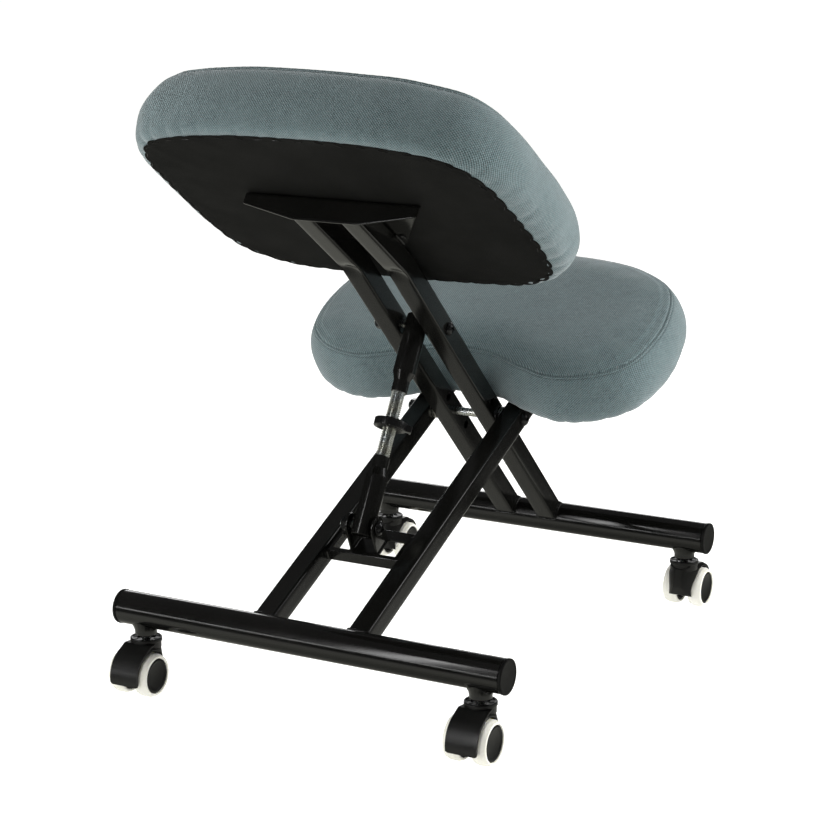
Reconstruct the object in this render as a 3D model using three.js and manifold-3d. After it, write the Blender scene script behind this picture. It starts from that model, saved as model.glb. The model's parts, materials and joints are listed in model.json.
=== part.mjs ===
// A kneeling chair. Two pairs of square tubes cross like scissors between a front and a rear caster bar.
// The outer pair carries the knee pad, the inner pair carries the tilted seat, and a screw adjuster
// between the pairs sets the height. Millimetres, +Z up, front towards -Y. The origin is on the floor
// under the middle of the chair.
import * as THREE from "three";
import { mergeVertices } from "three/addons/utils/BufferGeometryUtils.js";
import Module from "manifold-3d";

const wasm = await Module();
wasm.setup();

// ---- Driving dimensions ----
const GAP = 0.3; // between pieces that touch
const ROUND = 24; // sides of a large round piece
const SMALL_ROUND = 16; // sides of a pin or a hole
const WHEEL_ROUND = 20; // sides of a wheel
const RAD = Math.PI / 180;

const BAR = { outer: 38, wall: 1.5, length: 480, spacing: 564.6, height: 94 };
const CAP = { rim: 4, plug: 12, over: 0.6, chamfer: 1.2 };
const BOSS = { outer: 25, drop: 9, rise: 14, bore: 10.6 };

const ARM = { side: 25, wall: 1.5 };
const KNEE_ARM = { x: 59.2, tilt: 24.05, length: 600 };
const SEAT_ARM = { x: 29.4, tilt: 43.9, bendAt: 564, topTilt: 34.13, topLength: 125 };
const SPARE_HOLE = { pitch: 32, bore: 10 };

const PIN = { outer: 10, bore: 10.6 };
const WASHER = { outer: 24 };
const BOLT = { head: 17, smallHead: 15, dome: 6.5, edge: 2.5, tail: 11 };
const NUT = { across: 18, thick: 8 };

const CROSS = { from: 136, to: 184, top: 8.5, flange: 15, plate: 2.5, halfWidth: 43.5 };
const EAR = { at: 154.7, rise: 35.7, x: 16.5, radius: 13 };
const WINDOW = { from: 19, to: 40 };

const ADJUSTER = { upperPinAt: 437.6, slack: 1.4 };
const SLEEVE = { outer: 26, inner: 20, neck: 19, tail: 12, barrel: 58.5, shoulder: 68, mouth: 82 };
const SCREW = { outer: 16, length: 166 };
const HAND_WHEEL = { outer: 38, thick: 11, chamfer: 1.5, lug: { out: 6, wide: 10, drop: 2 } };

const BRACKET = { plate: 2, halfWidth: 106, halfFar: 42, depth: 104, rim: 13, skirt: 27, skirtFlat: 40 };
const KNEE_PLATE = 160; // its length along the arms
const BOARD = { thick: 12, inset: 12 };
const COVER = { thick: 0.8, inset: 1 };
// Half outlines, from the rear middle round to the front middle, as [across, along] from the pad's middle.
const SEAT_EDGE = [
  [0, 163], [65, 161], [130, 151], [180, 130], [204, 90], [211, 7],
  [208, -67], [193, -123], [152, -157], [75, -170], [0, -172],
];
const KNEE_EDGE = [
  [0, 88], [42, 92], [88, 112], [130, 123], [175, 112], [207, 83], [219, 43],
  [219, -12], [200, -72], [150, -108], [80, -123], [0, -125],
];
const SEAT_PAD = { along: 95.3, outline: 44 };
const KNEE_PAD = { along: 528.4, outline: 52 };
// Cushion sections as [height above the dust cover, growth of the outline, its scale, extra growth
// at the two ends].
const SEAT_SECTION = [
  [1.1, 2, 1, 0], [6, 6, 1, 3], [18, 9, 1, 8], [38, 9.5, 1, 13.5], [60, 5, 1, 12], [79, -3, 1, 5.5],
  [88, -12, 1, 1], [92, -13, 0.88, 0], [94, -13, 0.65, 0],
];
const KNEE_SECTION = [
  [1.1, -1, 1, 0], [5, 3, 1, 2], [16, 8, 1, 5], [34, 9, 1, 7.5], [54, 6, 1, 6.5], [68, 0, 1, 3.5],
  [74, -8, 1, 1.5], [78, -12, 0.85, 0], [80, -12, 0.6, 0],
];

const CASTER = { x: 212, trail: 16, wheel: 50, gauge: 16.5, tread: 18, hub: 40, axle: 6 };
const WHEEL_DISH = { hub: 3, face: 5, tyreIn: 3, tyreOut: 4 };
const HOOD = {
  cup: 36, cupHeight: 10, top: 63, shoulder: 4, knee: 26, floor: 13, toe: 5, heel: 8,
  halfWidth: 18.5, web: 6.5, fender: 3, fenderFrom: -22, clear: 2,
};
const STEM = { collar: 16, pin: 9, foot: 46 };

const CENTRE_Y = 1.37; // the whole length, seat to front casters, is centred this far behind the bars' middle

// ---- Materials ----
const material = (color, roughness, metalness = 0) =>
  new THREE.MeshStandardMaterial({ color, roughness, metalness });
const black = material(0x17181a, 0.35, 0.4);
const plastic = material(0x141414, 0.5);
const zinc = material(0xb9bcbd, 0.3, 0.9);
const fabric = material(0x6b8386, 0.9);
const felt = material(0x1c1d1d, 0.95);
const plywood = material(0xb58f62, 0.7);
const rubber = material(0xe8e4d8, 0.5);

// ---- Geometry helpers ----
function solid(geometry) {
  const bare = geometry.clone();
  bare.deleteAttribute("normal");
  bare.deleteAttribute("uv");
  const merged = mergeVertices(bare, 1e-4);
  const mesh = new wasm.Mesh({
    numProp: 3,
    vertProperties: merged.attributes.position.array,
    triVerts: new Uint32Array(merged.index.array),
  });
  return new wasm.Manifold(mesh);
}

function geometryOf(manifold) {
  const mesh = manifold.getMesh();
  const geometry = new THREE.BufferGeometry();
  geometry.setAttribute("position", new THREE.BufferAttribute(mesh.vertProperties, 3));
  geometry.setIndex(new THREE.BufferAttribute(mesh.triVerts, 1));
  return geometry;
}

function cut(body, ...tools) {
  return geometryOf(tools.reduce((left, tool) => left.subtract(solid(tool)), solid(body)));
}

function join(body, ...others) {
  return geometryOf(others.reduce((sum, other) => sum.add(solid(other)), solid(body)));
}

const box = (x, y, z, at = [0, 0, 0]) => new THREE.BoxGeometry(x, y, z).translate(...at);

// A round bar centred on `at`, along "x", "y" or "z".
function bar(diameter, length, axis, at = [0, 0, 0], sides = ROUND) {
  const geometry = new THREE.CylinderGeometry(diameter / 2, diameter / 2, length, sides);
  if (axis === "x") geometry.rotateZ(-Math.PI / 2);
  if (axis === "z") geometry.rotateX(Math.PI / 2);
  return geometry.translate(...at);
}

// A turned piece: profile points are [radius, distance along +X].
function turned(profile, sides = ROUND) {
  const points = profile.map(([radius, along]) => new THREE.Vector2(radius, along));
  return new THREE.LatheGeometry(points, sides).rotateZ(-Math.PI / 2);
}

// A turned piece that stands along +Z.
const upright = (profile, sides = ROUND) => turned(profile, sides).rotateY(-Math.PI / 2);

// A plate in the XY plane, `thick` tall.
function plate(points, thick) {
  const shape = new THREE.Shape(points.map(([x, y]) => new THREE.Vector2(x, y)));
  return new THREE.ExtrudeGeometry(shape, { depth: thick, bevelEnabled: false });
}

// A side profile in the YZ plane, pushed across X and centred on it.
function sideways(points, width) {
  return plate(points, width)
    .translate(0, 0, -width / 2)
    .applyMatrix4(new THREE.Matrix4().set(0, 0, 1, 0, 1, 0, 0, 0, 0, 1, 0, 0, 0, 0, 0, 1));
}

// Points of a closed smooth outline through a half outline and its mirror image.
function outline(half, count, grow = 0, ends = 0) {
  const mirrored = half.slice(1, -1).reverse().map(([x, y]) => [-x, y]);
  const knots = [...half, ...mirrored].map(([x, y]) => new THREE.Vector3(x, y, 0));
  const curve = new THREE.CatmullRomCurve3(knots, true, "centripetal");
  return Array.from({ length: count }, (_, i) => {
    const point = curve.getPointAt(i / count);
    const along = curve.getTangentAt(i / count);
    const out = grow + ends * along.y ** 2;
    return [point.x - along.y * out, point.y + along.x * out];
  }).reverse();
}

// A closed skin over a stack of sections [height, growth, scale] of one outline.
function padSolid(half, count, sections) {
  const rings = sections.map(([, grow, scale, ends]) =>
    outline(half, count, grow, ends).map(([x, y]) => [x * scale, y * scale]));
  const positions = rings.flatMap((ring, level) => ring.flatMap(([x, y]) => [x, y, sections[level][0]]));
  const index = [];
  for (let level = 0; level + 1 < rings.length; level++) {
    for (let i = 0; i < count; i++) {
      const a = level * count + i;
      const b = level * count + ((i + 1) % count);
      index.push(a, b, b + count, a, b + count, a + count);
    }
  }
  const topStart = (rings.length - 1) * count;
  for (const [ring, start, up] of [[rings[0], 0, false], [rings.at(-1), topStart, true]]) {
    const flat = ring.map(([x, y]) => new THREE.Vector2(x, y));
    for (const [a, b, c] of THREE.ShapeUtils.triangulateShape(flat, [])) {
      index.push(start + a, start + (up ? b : c), start + (up ? c : b));
    }
  }
  const geometry = new THREE.BufferGeometry();
  geometry.setAttribute("position", new THREE.Float32BufferAttribute(positions, 3));
  geometry.setIndex(index);
  return geometry;
}

// ---- Places ----
const chair = new THREE.Group();
const base = new THREE.Group();
base.position.y = -CENTRE_Y;
chair.add(base);

function place(parent, x, y, z, tilt = 0) {
  const group = new THREE.Group();
  group.position.set(x, y, z);
  group.rotation.x = tilt * RAD;
  parent.add(group);
  return group;
}

function add(parent, name, geometry, finish) {
  const mesh = new THREE.Mesh(geometry, finish);
  mesh.name = name;
  parent.add(mesh);
  return mesh;
}

const halfSpan = BAR.spacing / 2;
// Along each line +Y points back, so the knee arms run towards -Y and the seat arms towards +Y.
const kneeLine = place(base, 0, halfSpan, BAR.height, -KNEE_ARM.tilt);
const seatLine = place(base, 0, -halfSpan, BAR.height, SEAT_ARM.tilt);
const seatTop = place(seatLine, 0, SEAT_ARM.bendAt, 0, SEAT_ARM.topTilt - SEAT_ARM.tilt);

// The arms cross where both lines reach the same height.
const kneeSlope = Math.tan(KNEE_ARM.tilt * RAD);
const seatSlope = Math.tan(SEAT_ARM.tilt * RAD);
const pivotY = (halfSpan * (kneeSlope - seatSlope)) / (kneeSlope + seatSlope);
const pivotZ = BAR.height + kneeSlope * (halfSpan - pivotY);
const pivotOnKnee = (halfSpan - pivotY) / Math.cos(KNEE_ARM.tilt * RAD);
const pivotOnSeat = (halfSpan + pivotY) / Math.cos(SEAT_ARM.tilt * RAD);
const scissor = place(base, 0, pivotY, pivotZ);

// The adjuster runs from the ears on the knee arms to a pin through the seat arms.
const lowerPin = {
  y: halfSpan - EAR.at * Math.cos(KNEE_ARM.tilt * RAD) + EAR.rise * Math.sin(KNEE_ARM.tilt * RAD),
  z: BAR.height + EAR.at * Math.sin(KNEE_ARM.tilt * RAD) + EAR.rise * Math.cos(KNEE_ARM.tilt * RAD),
};
const upperPin = {
  y: -halfSpan + ADJUSTER.upperPinAt * Math.cos(SEAT_ARM.tilt * RAD),
  z: BAR.height + ADJUSTER.upperPinAt * Math.sin(SEAT_ARM.tilt * RAD),
};
const adjusterLength = Math.hypot(upperPin.y - lowerPin.y, upperPin.z - lowerPin.z);
const adjusterTilt = Math.atan2(lowerPin.y - upperPin.y, upperPin.z - lowerPin.z) / RAD;
const adjuster = place(base, 0, lowerPin.y, lowerPin.z, adjusterTilt);

// ---- Caster bars and their end caps ----
function casterBar() {
  const tube = bar(BAR.outer, BAR.length, "x");
  const hollow = bar(BAR.outer - 2 * BAR.wall, BAR.length + 2, "x");
  const height = BAR.outer / 2 + BOSS.drop - BOSS.rise / 2;
  const middle = -BAR.outer / 2 - BOSS.drop + height / 2;
  const bosses = [-CASTER.x, CASTER.x].map((x) => bar(BOSS.outer, height, "z", [x, 0, middle]));
  const bores = [-CASTER.x, CASTER.x].map((x) => bar(BOSS.bore, 2 * height, "z", [x, 0, middle]));
  return cut(join(cut(tube, hollow), ...bosses), ...bores);
}

function endCap() {
  const rim = BAR.outer / 2 + CAP.over;
  const plug = BAR.outer / 2 - BAR.wall - GAP;
  return turned([
    [0, -CAP.plug], [plug, -CAP.plug], [plug, GAP], [rim, GAP],
    [rim, CAP.rim - CAP.chamfer], [rim - CAP.chamfer, CAP.rim], [0, CAP.rim],
  ]);
}

for (const [end, y] of [["rear", halfSpan], ["front", -halfSpan]]) {
  const line = place(base, 0, y, BAR.height);
  add(line, `${end}_caster_bar`, casterBar(), black);
  for (const [side, sign] of [["left", 1], ["right", -1]]) {
    const cap = add(line, `${end}_${side}_end_cap`, endCap(), plastic);
    cap.position.x = (sign * BAR.length) / 2;
    cap.rotation.z = sign > 0 ? 0 : Math.PI;
  }
}

// ---- Scissor arms ----
const barGroove = () => bar(BAR.outer + 4 * GAP, ARM.side + 2, "x");
const crossHole = (bore, y, z = 0) => bar(bore, 4 * ARM.side, "x", [0, y, z], SMALL_ROUND);

function kneeArm() {
  const middle = [0, -KNEE_ARM.length / 2, 0];
  const inside = ARM.side - 2 * ARM.wall;
  const tube = box(ARM.side, KNEE_ARM.length, ARM.side, middle);
  const hollow = box(inside, KNEE_ARM.length + 2, inside, middle);
  return cut(tube, hollow, barGroove(), crossHole(PIN.bore, -pivotOnKnee));
}

// The bent centre line, thickened by `half` to each side.
function bentProfile(half, over = 0) {
  const turn = (SEAT_ARM.tilt - SEAT_ARM.topTilt) * RAD;
  const miter = half * Math.tan(turn / 2);
  const end = SEAT_ARM.topLength + over;
  const far = (along, up) => [
    SEAT_ARM.bendAt + along * Math.cos(turn) + up * Math.sin(turn),
    -along * Math.sin(turn) + up * Math.cos(turn),
  ];
  return [
    [-over, -half], [SEAT_ARM.bendAt - miter, -half], far(end, -half),
    far(end, half), [SEAT_ARM.bendAt + miter, half], [-over, half],
  ];
}

function seatArm() {
  const inside = ARM.side - 2 * ARM.wall;
  const tube = sideways(bentProfile(ARM.side / 2), ARM.side);
  const hollow = sideways(bentProfile(inside / 2, 2), inside);
  const spares = [-1, 1].map((way) => crossHole(SPARE_HOLE.bore, pivotOnSeat + way * SPARE_HOLE.pitch));
  const pins = [pivotOnSeat, ADJUSTER.upperPinAt].map((at) => crossHole(PIN.bore, at));
  return cut(tube, hollow, barGroove(), ...spares, ...pins);
}

for (const [side, sign] of [["left", 1], ["right", -1]]) {
  add(kneeLine, `${side}_knee_arm`, kneeArm(), black).position.x = sign * KNEE_ARM.x;
  add(seatLine, `${side}_seat_arm`, seatArm(), black).position.x = sign * SEAT_ARM.x;
}

// ---- Pins, nuts and washers ----
// A bolt along X whose domed head sits outside `reach` on the -X side and whose shank ends past +reach.
function bolt(reach, headDiameter) {
  const shank = PIN.outer / 2;
  const head = headDiameter / 2;
  return turned([
    [0, -reach - BOLT.dome], [head / 2, -reach - BOLT.dome + GAP], [head, -reach - BOLT.edge],
    [head, -reach - GAP], [shank, -reach - GAP], [shank, reach + BOLT.tail], [0, reach + BOLT.tail],
  ], SMALL_ROUND);
}

function nut(reach) {
  const body = bar(NUT.across, NUT.thick, "x", [reach + GAP + NUT.thick / 2, 0, 0], 6);
  return cut(body, bar(PIN.bore, 4 * NUT.thick, "x", [reach, 0, 0], SMALL_ROUND));
}

const kneeOuter = KNEE_ARM.x + ARM.side / 2;
const seatOuter = SEAT_ARM.x + ARM.side / 2;
add(scissor, "scissor_bolt", bolt(kneeOuter, BOLT.head), zinc);
add(scissor, "scissor_nut", nut(kneeOuter), zinc);
for (const [side, sign] of [["left", 1], ["right", -1]]) {
  const room = KNEE_ARM.x - SEAT_ARM.x - ARM.side;
  const hole = bar(PIN.bore, room + 2, "x", [0, 0, 0], SMALL_ROUND);
  const ring = cut(bar(WASHER.outer, room - 2 * GAP, "x", [0, 0, 0], SMALL_ROUND), hole);
  add(scissor, `${side}_scissor_washer`, ring, zinc).position.x = sign * (seatOuter + room / 2);
}

const earOuter = EAR.x + CROSS.plate / 2;
add(adjuster, "lower_adjuster_bolt", bolt(earOuter, BOLT.head), zinc);
add(adjuster, "lower_adjuster_nut", nut(earOuter), zinc);
const upperPlace = place(adjuster, 0, 0, adjusterLength);
add(upperPlace, "upper_adjuster_bolt", bolt(seatOuter, BOLT.smallHead), zinc);
add(upperPlace, "upper_adjuster_nut", nut(seatOuter), zinc);

// ---- Crossmember with the two ears of the lower adjuster pin ----
function crossmember() {
  const depth = CROSS.to - CROSS.from;
  const middle = -(CROSS.to + CROSS.from) / 2;
  const web = box(2 * CROSS.halfWidth, depth, CROSS.plate, [0, middle, CROSS.top - CROSS.plate / 2]);
  const flangeWidth = 2 * (KNEE_ARM.x - ARM.side / 2 - GAP);
  const flanges = [CROSS.from + CROSS.plate / 2, CROSS.to - CROSS.plate / 2].map((at) =>
    box(flangeWidth, CROSS.plate, CROSS.flange, [0, -at, CROSS.top - CROSS.flange / 2 - 0.5]));
  const windows = [-1, 1].map((sign) => {
    const across = (sign * (WINDOW.to + WINDOW.from)) / 2;
    return box(WINDOW.to - WINDOW.from, 2 * EAR.radius, 20, [across, -EAR.at, CROSS.top]);
  });
  const earFoot = CROSS.top - 1;
  const ears = [-1, 1].flatMap((sign) => [
    box(CROSS.plate, 2 * EAR.radius, EAR.rise - earFoot, [sign * EAR.x, -EAR.at, (EAR.rise + earFoot) / 2]),
    bar(2 * EAR.radius, CROSS.plate, "x", [sign * EAR.x, -EAR.at, EAR.rise]),
  ]);
  return cut(join(cut(web, ...windows), ...flanges, ...ears), crossHole(PIN.bore, -EAR.at, EAR.rise));
}
add(kneeLine, "crossmember", crossmember(), black);

// ---- Screw adjuster ----
// The sleeve stands on its pin, with the mouth that takes the screw at the top.
function sleeve(pinBore) {
  const outer = SLEEVE.outer / 2;
  const neck = SLEEVE.neck / 2;
  const inner = SLEEVE.inner / 2;
  const thread = SCREW.outer / 2 + GAP;
  const wall = upright([
    [inner, -SLEEVE.tail], [outer, -SLEEVE.tail], [outer, SLEEVE.barrel], [neck, SLEEVE.shoulder],
    [neck, SLEEVE.mouth], [thread, SLEEVE.mouth], [thread, SLEEVE.shoulder - 2], [inner, SLEEVE.barrel - 2],
    [inner, -SLEEVE.tail],
  ], WHEEL_ROUND);
  return cut(wall, bar(pinBore, 2 * SLEEVE.outer, "x", [0, 0, 0], SMALL_ROUND));
}

function handWheel() {
  const rim = HAND_WHEEL.outer / 2;
  const half = HAND_WHEEL.thick / 2;
  const disc = upright([
    [0, -half], [rim - HAND_WHEEL.chamfer, -half], [rim, HAND_WHEEL.chamfer - half],
    [rim, half - HAND_WHEEL.chamfer], [rim - HAND_WHEEL.chamfer, half], [0, half],
  ]);
  const { out, wide, drop } = HAND_WHEEL.lug;
  const lug = box(out, wide, HAND_WHEEL.thick, [-rim, 0, -drop]);
  return cut(join(disc, lug), bar(SCREW.outer + 2 * GAP, 2 * HAND_WHEEL.thick, "z"));
}

add(adjuster, "lower_sleeve", sleeve(PIN.bore), black);
const upperSleeve = add(upperPlace, "upper_sleeve", sleeve(PIN.bore + 2 * ADJUSTER.slack), black);
upperSleeve.rotation.x = Math.PI;
const screwMiddle = place(adjuster, 0, 0, adjusterLength / 2);
add(screwMiddle, "adjuster_screw", bar(SCREW.outer, SCREW.length, "z"), zinc);
add(screwMiddle, "adjuster_wheel", handWheel(), plastic);

// ---- Brackets under the pads ----
function seatBracket() {
  const { plate: thick, halfWidth, halfFar, depth, rim, skirt, skirtFlat } = BRACKET;
  const top = plate([[-halfWidth, 0], [-halfFar, -depth], [halfFar, -depth], [halfWidth, 0]], thick);
  const lip = plate([
    [-halfWidth, -rim], [-skirtFlat, -skirt], [skirtFlat, -skirt],
    [halfWidth, -rim], [halfWidth, 0], [-halfWidth, 0],
  ], thick);
  return join(top, lip.rotateX(Math.PI / 2).translate(0, 0, thick));
}

function kneeBracket() {
  const width = 2 * KNEE_ARM.x + ARM.side;
  return box(width, KNEE_PLATE, BRACKET.plate, [0, 0, BRACKET.plate / 2]);
}

const faceRise = ARM.side / 2 + GAP;
const seatBracketPlace = place(seatTop, 0, SEAT_ARM.topLength + GAP + BRACKET.plate, faceRise);
add(seatBracketPlace, "seat_bracket", seatBracket(), black);
const kneeBracketPlace = place(kneeLine, 0, -KNEE_PAD.along, faceRise);
add(kneeBracketPlace, "knee_bracket", kneeBracket(), black);

// ---- Seat and knee pad: dust cover, board and cushion ----
function addPad(prefix, parent, along, half, count, sections) {
  const pad = place(parent, 0, along, faceRise + BRACKET.plate + GAP);
  const boardLow = COVER.thick + GAP;
  const boardTop = boardLow + BOARD.thick;
  const flat = (inset, low, high) => padSolid(half, count, [[low, -inset, 1], [high, -inset, 1]]);
  add(pad, `${prefix}_dust_cover`, flat(COVER.inset, 0, COVER.thick), felt);
  add(pad, `${prefix}_board`, flat(BOARD.inset, boardLow, boardTop), plywood);
  const pocket = flat(BOARD.inset - GAP, 0, boardTop + GAP);
  add(pad, `${prefix}_cushion`, cut(padSolid(half, count, sections), pocket), fabric);
}
addPad("seat", seatTop, SEAT_PAD.along, SEAT_EDGE, SEAT_PAD.outline, SEAT_SECTION);
addPad("knee", kneeLine, -KNEE_PAD.along, KNEE_EDGE, KNEE_PAD.outline, KNEE_SECTION);

// ---- Casters ----
const axleHeight = (CASTER.wheel / 2) * Math.cos(Math.PI / WHEEL_ROUND);

function stem() {
  const top = BAR.height - BOSS.rise / 2 - 1;
  const seat = BAR.height - BAR.outer / 2 - BOSS.drop - GAP;
  return upright([
    [0, STEM.foot], [STEM.pin / 2, STEM.foot], [STEM.pin / 2, seat - 2], [STEM.collar / 2, seat - 2],
    [STEM.collar / 2, seat], [PIN.outer / 2, seat], [PIN.outer / 2, top], [0, top],
  ], SMALL_ROUND);
}

// An arc of the fender about the axle, as [back, up] points, from one angle to another.
function arc(radius, from, to, steps) {
  return Array.from({ length: steps + 1 }, (_, i) => {
    const angle = (from + ((to - from) * i) / steps) * RAD;
    return [CASTER.trail + radius * Math.cos(angle), axleHeight + radius * Math.sin(angle)];
  });
}

function hood() {
  const room = CASTER.wheel / 2 + HOOD.clear;
  const back = HOOD.cup / 2;
  const shoulder = HOOD.top - HOOD.shoulder;
  const fender = arc(room + HOOD.fender, HOOD.fenderFrom, 90, 8);
  const side = sideways([
    [-back, shoulder], [-back, HOOD.knee], [HOOD.toe - back, HOOD.floor + HOOD.toe],
    [CASTER.trail - HOOD.heel, HOOD.floor], [CASTER.trail + HOOD.heel, HOOD.floor], ...fender, [back, shoulder],
  ], 2 * HOOD.halfWidth);
  const wheels = [-1, 1].map((sign) => {
    const across = sign * (HOOD.web + HOOD.halfWidth);
    return bar(2 * room, 2 * HOOD.halfWidth, "x", [across, CASTER.trail, axleHeight], WHEEL_ROUND);
  });
  const cup = bar(HOOD.cup, HOOD.cupHeight, "z", [0, 0, HOOD.top - HOOD.cupHeight / 2]);
  const bore = bar(STEM.pin + 2 * GAP, HOOD.top, "z", [0, 0, STEM.foot - GAP + HOOD.top / 2], SMALL_ROUND);
  const axle = bar(CASTER.axle + 2 * GAP, 2 * HOOD.cup, "x", [0, CASTER.trail, axleHeight], SMALL_ROUND);
  return cut(join(cut(side, ...wheels), cup), bore, axle);
}

// Wheel pieces are turned about the axle, from the inner face outwards.
const wheelInner = CASTER.gauge - CASTER.tread / 2;
const wheelOuter = CASTER.gauge + CASTER.tread / 2;

function hub() {
  const rim = CASTER.hub / 2 - GAP;
  const bore = CASTER.axle / 2 + GAP;
  const face = wheelOuter - WHEEL_DISH.face;
  return turned([
    [bore, wheelInner + 1], [rim, wheelInner + 1], [rim, wheelOuter - 1],
    [rim - WHEEL_DISH.hub, wheelOuter - GAP], [0, wheelOuter - WHEEL_DISH.hub], [0, face], [bore, face], [bore, wheelInner + 1],
  ], WHEEL_ROUND);
}

function tyre() {
  const inner = CASTER.hub / 2;
  const outer = CASTER.wheel / 2;
  return turned([
    [inner, wheelInner], [outer - WHEEL_DISH.tyreIn, wheelInner], [outer, wheelInner + WHEEL_DISH.tyreIn],
    [outer, wheelOuter - WHEEL_DISH.tyreOut], [outer - 1, wheelOuter - WHEEL_DISH.tyreOut / 3],
    [outer - WHEEL_DISH.tyreOut, wheelOuter], [inner, wheelOuter], [inner, wheelInner],
  ], WHEEL_ROUND).rotateX(Math.PI / WHEEL_ROUND);
}

for (const [end, y, facing] of [["rear", halfSpan, 0], ["front", -halfSpan, Math.PI]]) {
  for (const [side, sign] of [["left", 1], ["right", -1]]) {
    const caster = place(base, sign * CASTER.x, y, 0);
    caster.rotation.z = facing;
    const name = `${end}_${side}`;
    add(caster, `${name}_stem`, stem(), zinc);
    add(caster, `${name}_hood`, hood(), plastic);
    const axle = place(caster, 0, CASTER.trail, axleHeight);
    const axleLength = 2 * (wheelOuter - WHEEL_DISH.face - GAP);
    add(axle, `${name}_axle`, bar(CASTER.axle, axleLength, "x", [0, 0, 0], SMALL_ROUND), zinc);
    for (const [wheel, way] of [["outer", sign], ["inner", -sign]]) {
      const spin = way * (facing ? -1 : 1) > 0 ? 0 : Math.PI;
      add(axle, `${name}_${wheel}_hub`, hub(), plastic).rotation.z = spin;
      add(axle, `${name}_${wheel}_tyre`, tyre(), rubber).rotation.z = spin;
    }
  }
}

export default chair;
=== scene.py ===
"""The looks of the kneeling chair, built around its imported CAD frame.

Shapes are made in millimetres in the local frames of the CAD model, and each piece is put in place in metres.
"""

import json
import math
from types import SimpleNamespace as Sizes

import bmesh
import bpy
import numpy as np
from mathutils import Matrix, Vector, noise
from mathutils.kdtree import KDTree


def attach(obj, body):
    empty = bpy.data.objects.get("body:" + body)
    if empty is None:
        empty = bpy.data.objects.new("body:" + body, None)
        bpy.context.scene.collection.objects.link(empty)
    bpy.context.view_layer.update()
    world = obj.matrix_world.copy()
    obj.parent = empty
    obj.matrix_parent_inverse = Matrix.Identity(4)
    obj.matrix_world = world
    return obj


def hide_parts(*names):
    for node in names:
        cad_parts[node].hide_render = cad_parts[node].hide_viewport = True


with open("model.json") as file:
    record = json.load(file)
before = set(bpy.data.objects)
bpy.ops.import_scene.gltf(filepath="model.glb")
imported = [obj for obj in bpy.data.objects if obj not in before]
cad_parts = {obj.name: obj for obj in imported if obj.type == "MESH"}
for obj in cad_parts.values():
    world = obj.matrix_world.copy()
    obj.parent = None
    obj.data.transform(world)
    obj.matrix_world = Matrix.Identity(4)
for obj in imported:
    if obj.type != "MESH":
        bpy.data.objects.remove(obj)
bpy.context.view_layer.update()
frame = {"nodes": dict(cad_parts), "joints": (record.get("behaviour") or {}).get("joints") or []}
scene = bpy.context.scene

# ---- Sizes of the CAD frame, in millimetres ----
MM = 0.001
GAP = 0.3  # between pieces that touch
BAR = Sizes(radius=19, wall=1.5, half=240, height=94)
BOSS = Sizes(radius=12.5, drop=9)
ARM = Sizes(side=25, wall=1.5, corner=3)
KNEE_ARM = Sizes(x=59.2, tilt=24.05, length=600)
SEAT_ARM = Sizes(x=29.4, tilt=43.9, bend_at=564, top_tilt=34.13, top_length=125)
SPARE_HOLE = Sizes(pitch=32, radius=5)
CROSS = Sizes(rear=-136, front=-184, top=8.5, flange=15, plate=2.5, half=46.2)
EAR = Sizes(at=154.7, rise=35.7, x=16.5, radius=13)
WINDOW = Sizes(inner=19, outer=40, half=13)
SLEEVE = Sizes(radius=13, neck=9.5, tail=12, barrel=58.5, shoulder=68, mouth=82, bore=10)
SCREW = Sizes(radius=8, half=83, pitch=2.5)
HAND_WHEEL = Sizes(radius=19, half=5.5)
UPPER_PIN_AT = 437.6  # along the seat arms
PIN_HOLE = 5.3
UPPER_SLACK = 1.4  # more radius for the pin's hole in the upper sleeve, where the linkage is open
BRACKET = Sizes(plate=2, half=106, half_far=42, depth=104, rim=13, skirt=27, skirt_flat=40)
PAD_RISE = ARM.side / 2 + GAP + BRACKET.plate + GAP
SEAT_PAD_AT = 95.3  # along the top stretch of the seat arms
KNEE_PAD_AT = 528.4  # along the knee arms
CASTER = Sizes(trail=16, wheel=25, hub=20, gauge=16.5, tread=18, axle=24.69)
HOOD = Sizes(cup=18, top=63, floor=13, half=20, web=6.5, fender=3, clear=2, end=-14)  # end is in degrees

# Half outlines of the pads, from the rear middle round to the front middle.
SEAT_EDGE = [
    (0, 163), (65, 161), (130, 151), (180, 130), (204, 90), (211, 7),
    (210, -69), (197, -127), (155, -160), (75, -171), (0, -173),
]
KNEE_EDGE = [
    (0, 88), (42, 92), (88, 112), (130, 123), (175, 112), (207, 83), (219, 43),
    (219, -12), (200, -72), (150, -108), (80, -123), (0, -125),
]
# Sections of the pads as (height, growth of the outline, its scale, extra growth at the two ends), from the
# underside to the middle of the top.
SEAT_SECTION = [
    (1.1, -11.7, 1, 0), (1.4, -6, 1, 0), (3, 1, 1, 0.5), (7, 6, 1, 3), (18, 9, 1, 8), (38, 9.5, 1, 12),
    (58, 5.5, 1, 11), (74, -0.5, 1, 7.5), (82, -7, 1, 4), (88, -15, 1, 1), (91, -16, 0.92, 0),
    (93.5, -16, 0.75, 0), (95, -16, 0.45, 0), (95.5, -16, 0, 0),
]
KNEE_SECTION = [
    (1.1, -11.7, 1, 0), (1.3, -6, 1, 0), (2.4, 0, 1, 0), (6, 5, 1, 2), (16, 9, 1, 5), (34, 9.5, 1, 7.5),
    (54, 6, 1, 6.5), (68, 0, 1, 3.5), (73, -7, 1, 1.5), (76.5, -15, 1, 0), (79, -16, 0.9, 0),
    (80.5, -16, 0.7, 0), (81, -16, 0.4, 0), (81, -16, 0, 0),
]
SEAM_HEIGHT = Sizes(seat=85, knee=68)
SIDES = (("left", 1), ("right", -1))

# ---- Places ----
joints = {joint["name"]: joint for joint in frame["joints"]}


def joint_at(name):
    """Where a joint is, in millimetres."""
    return Vector(joints[name]["pos_m"]) / MM


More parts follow.
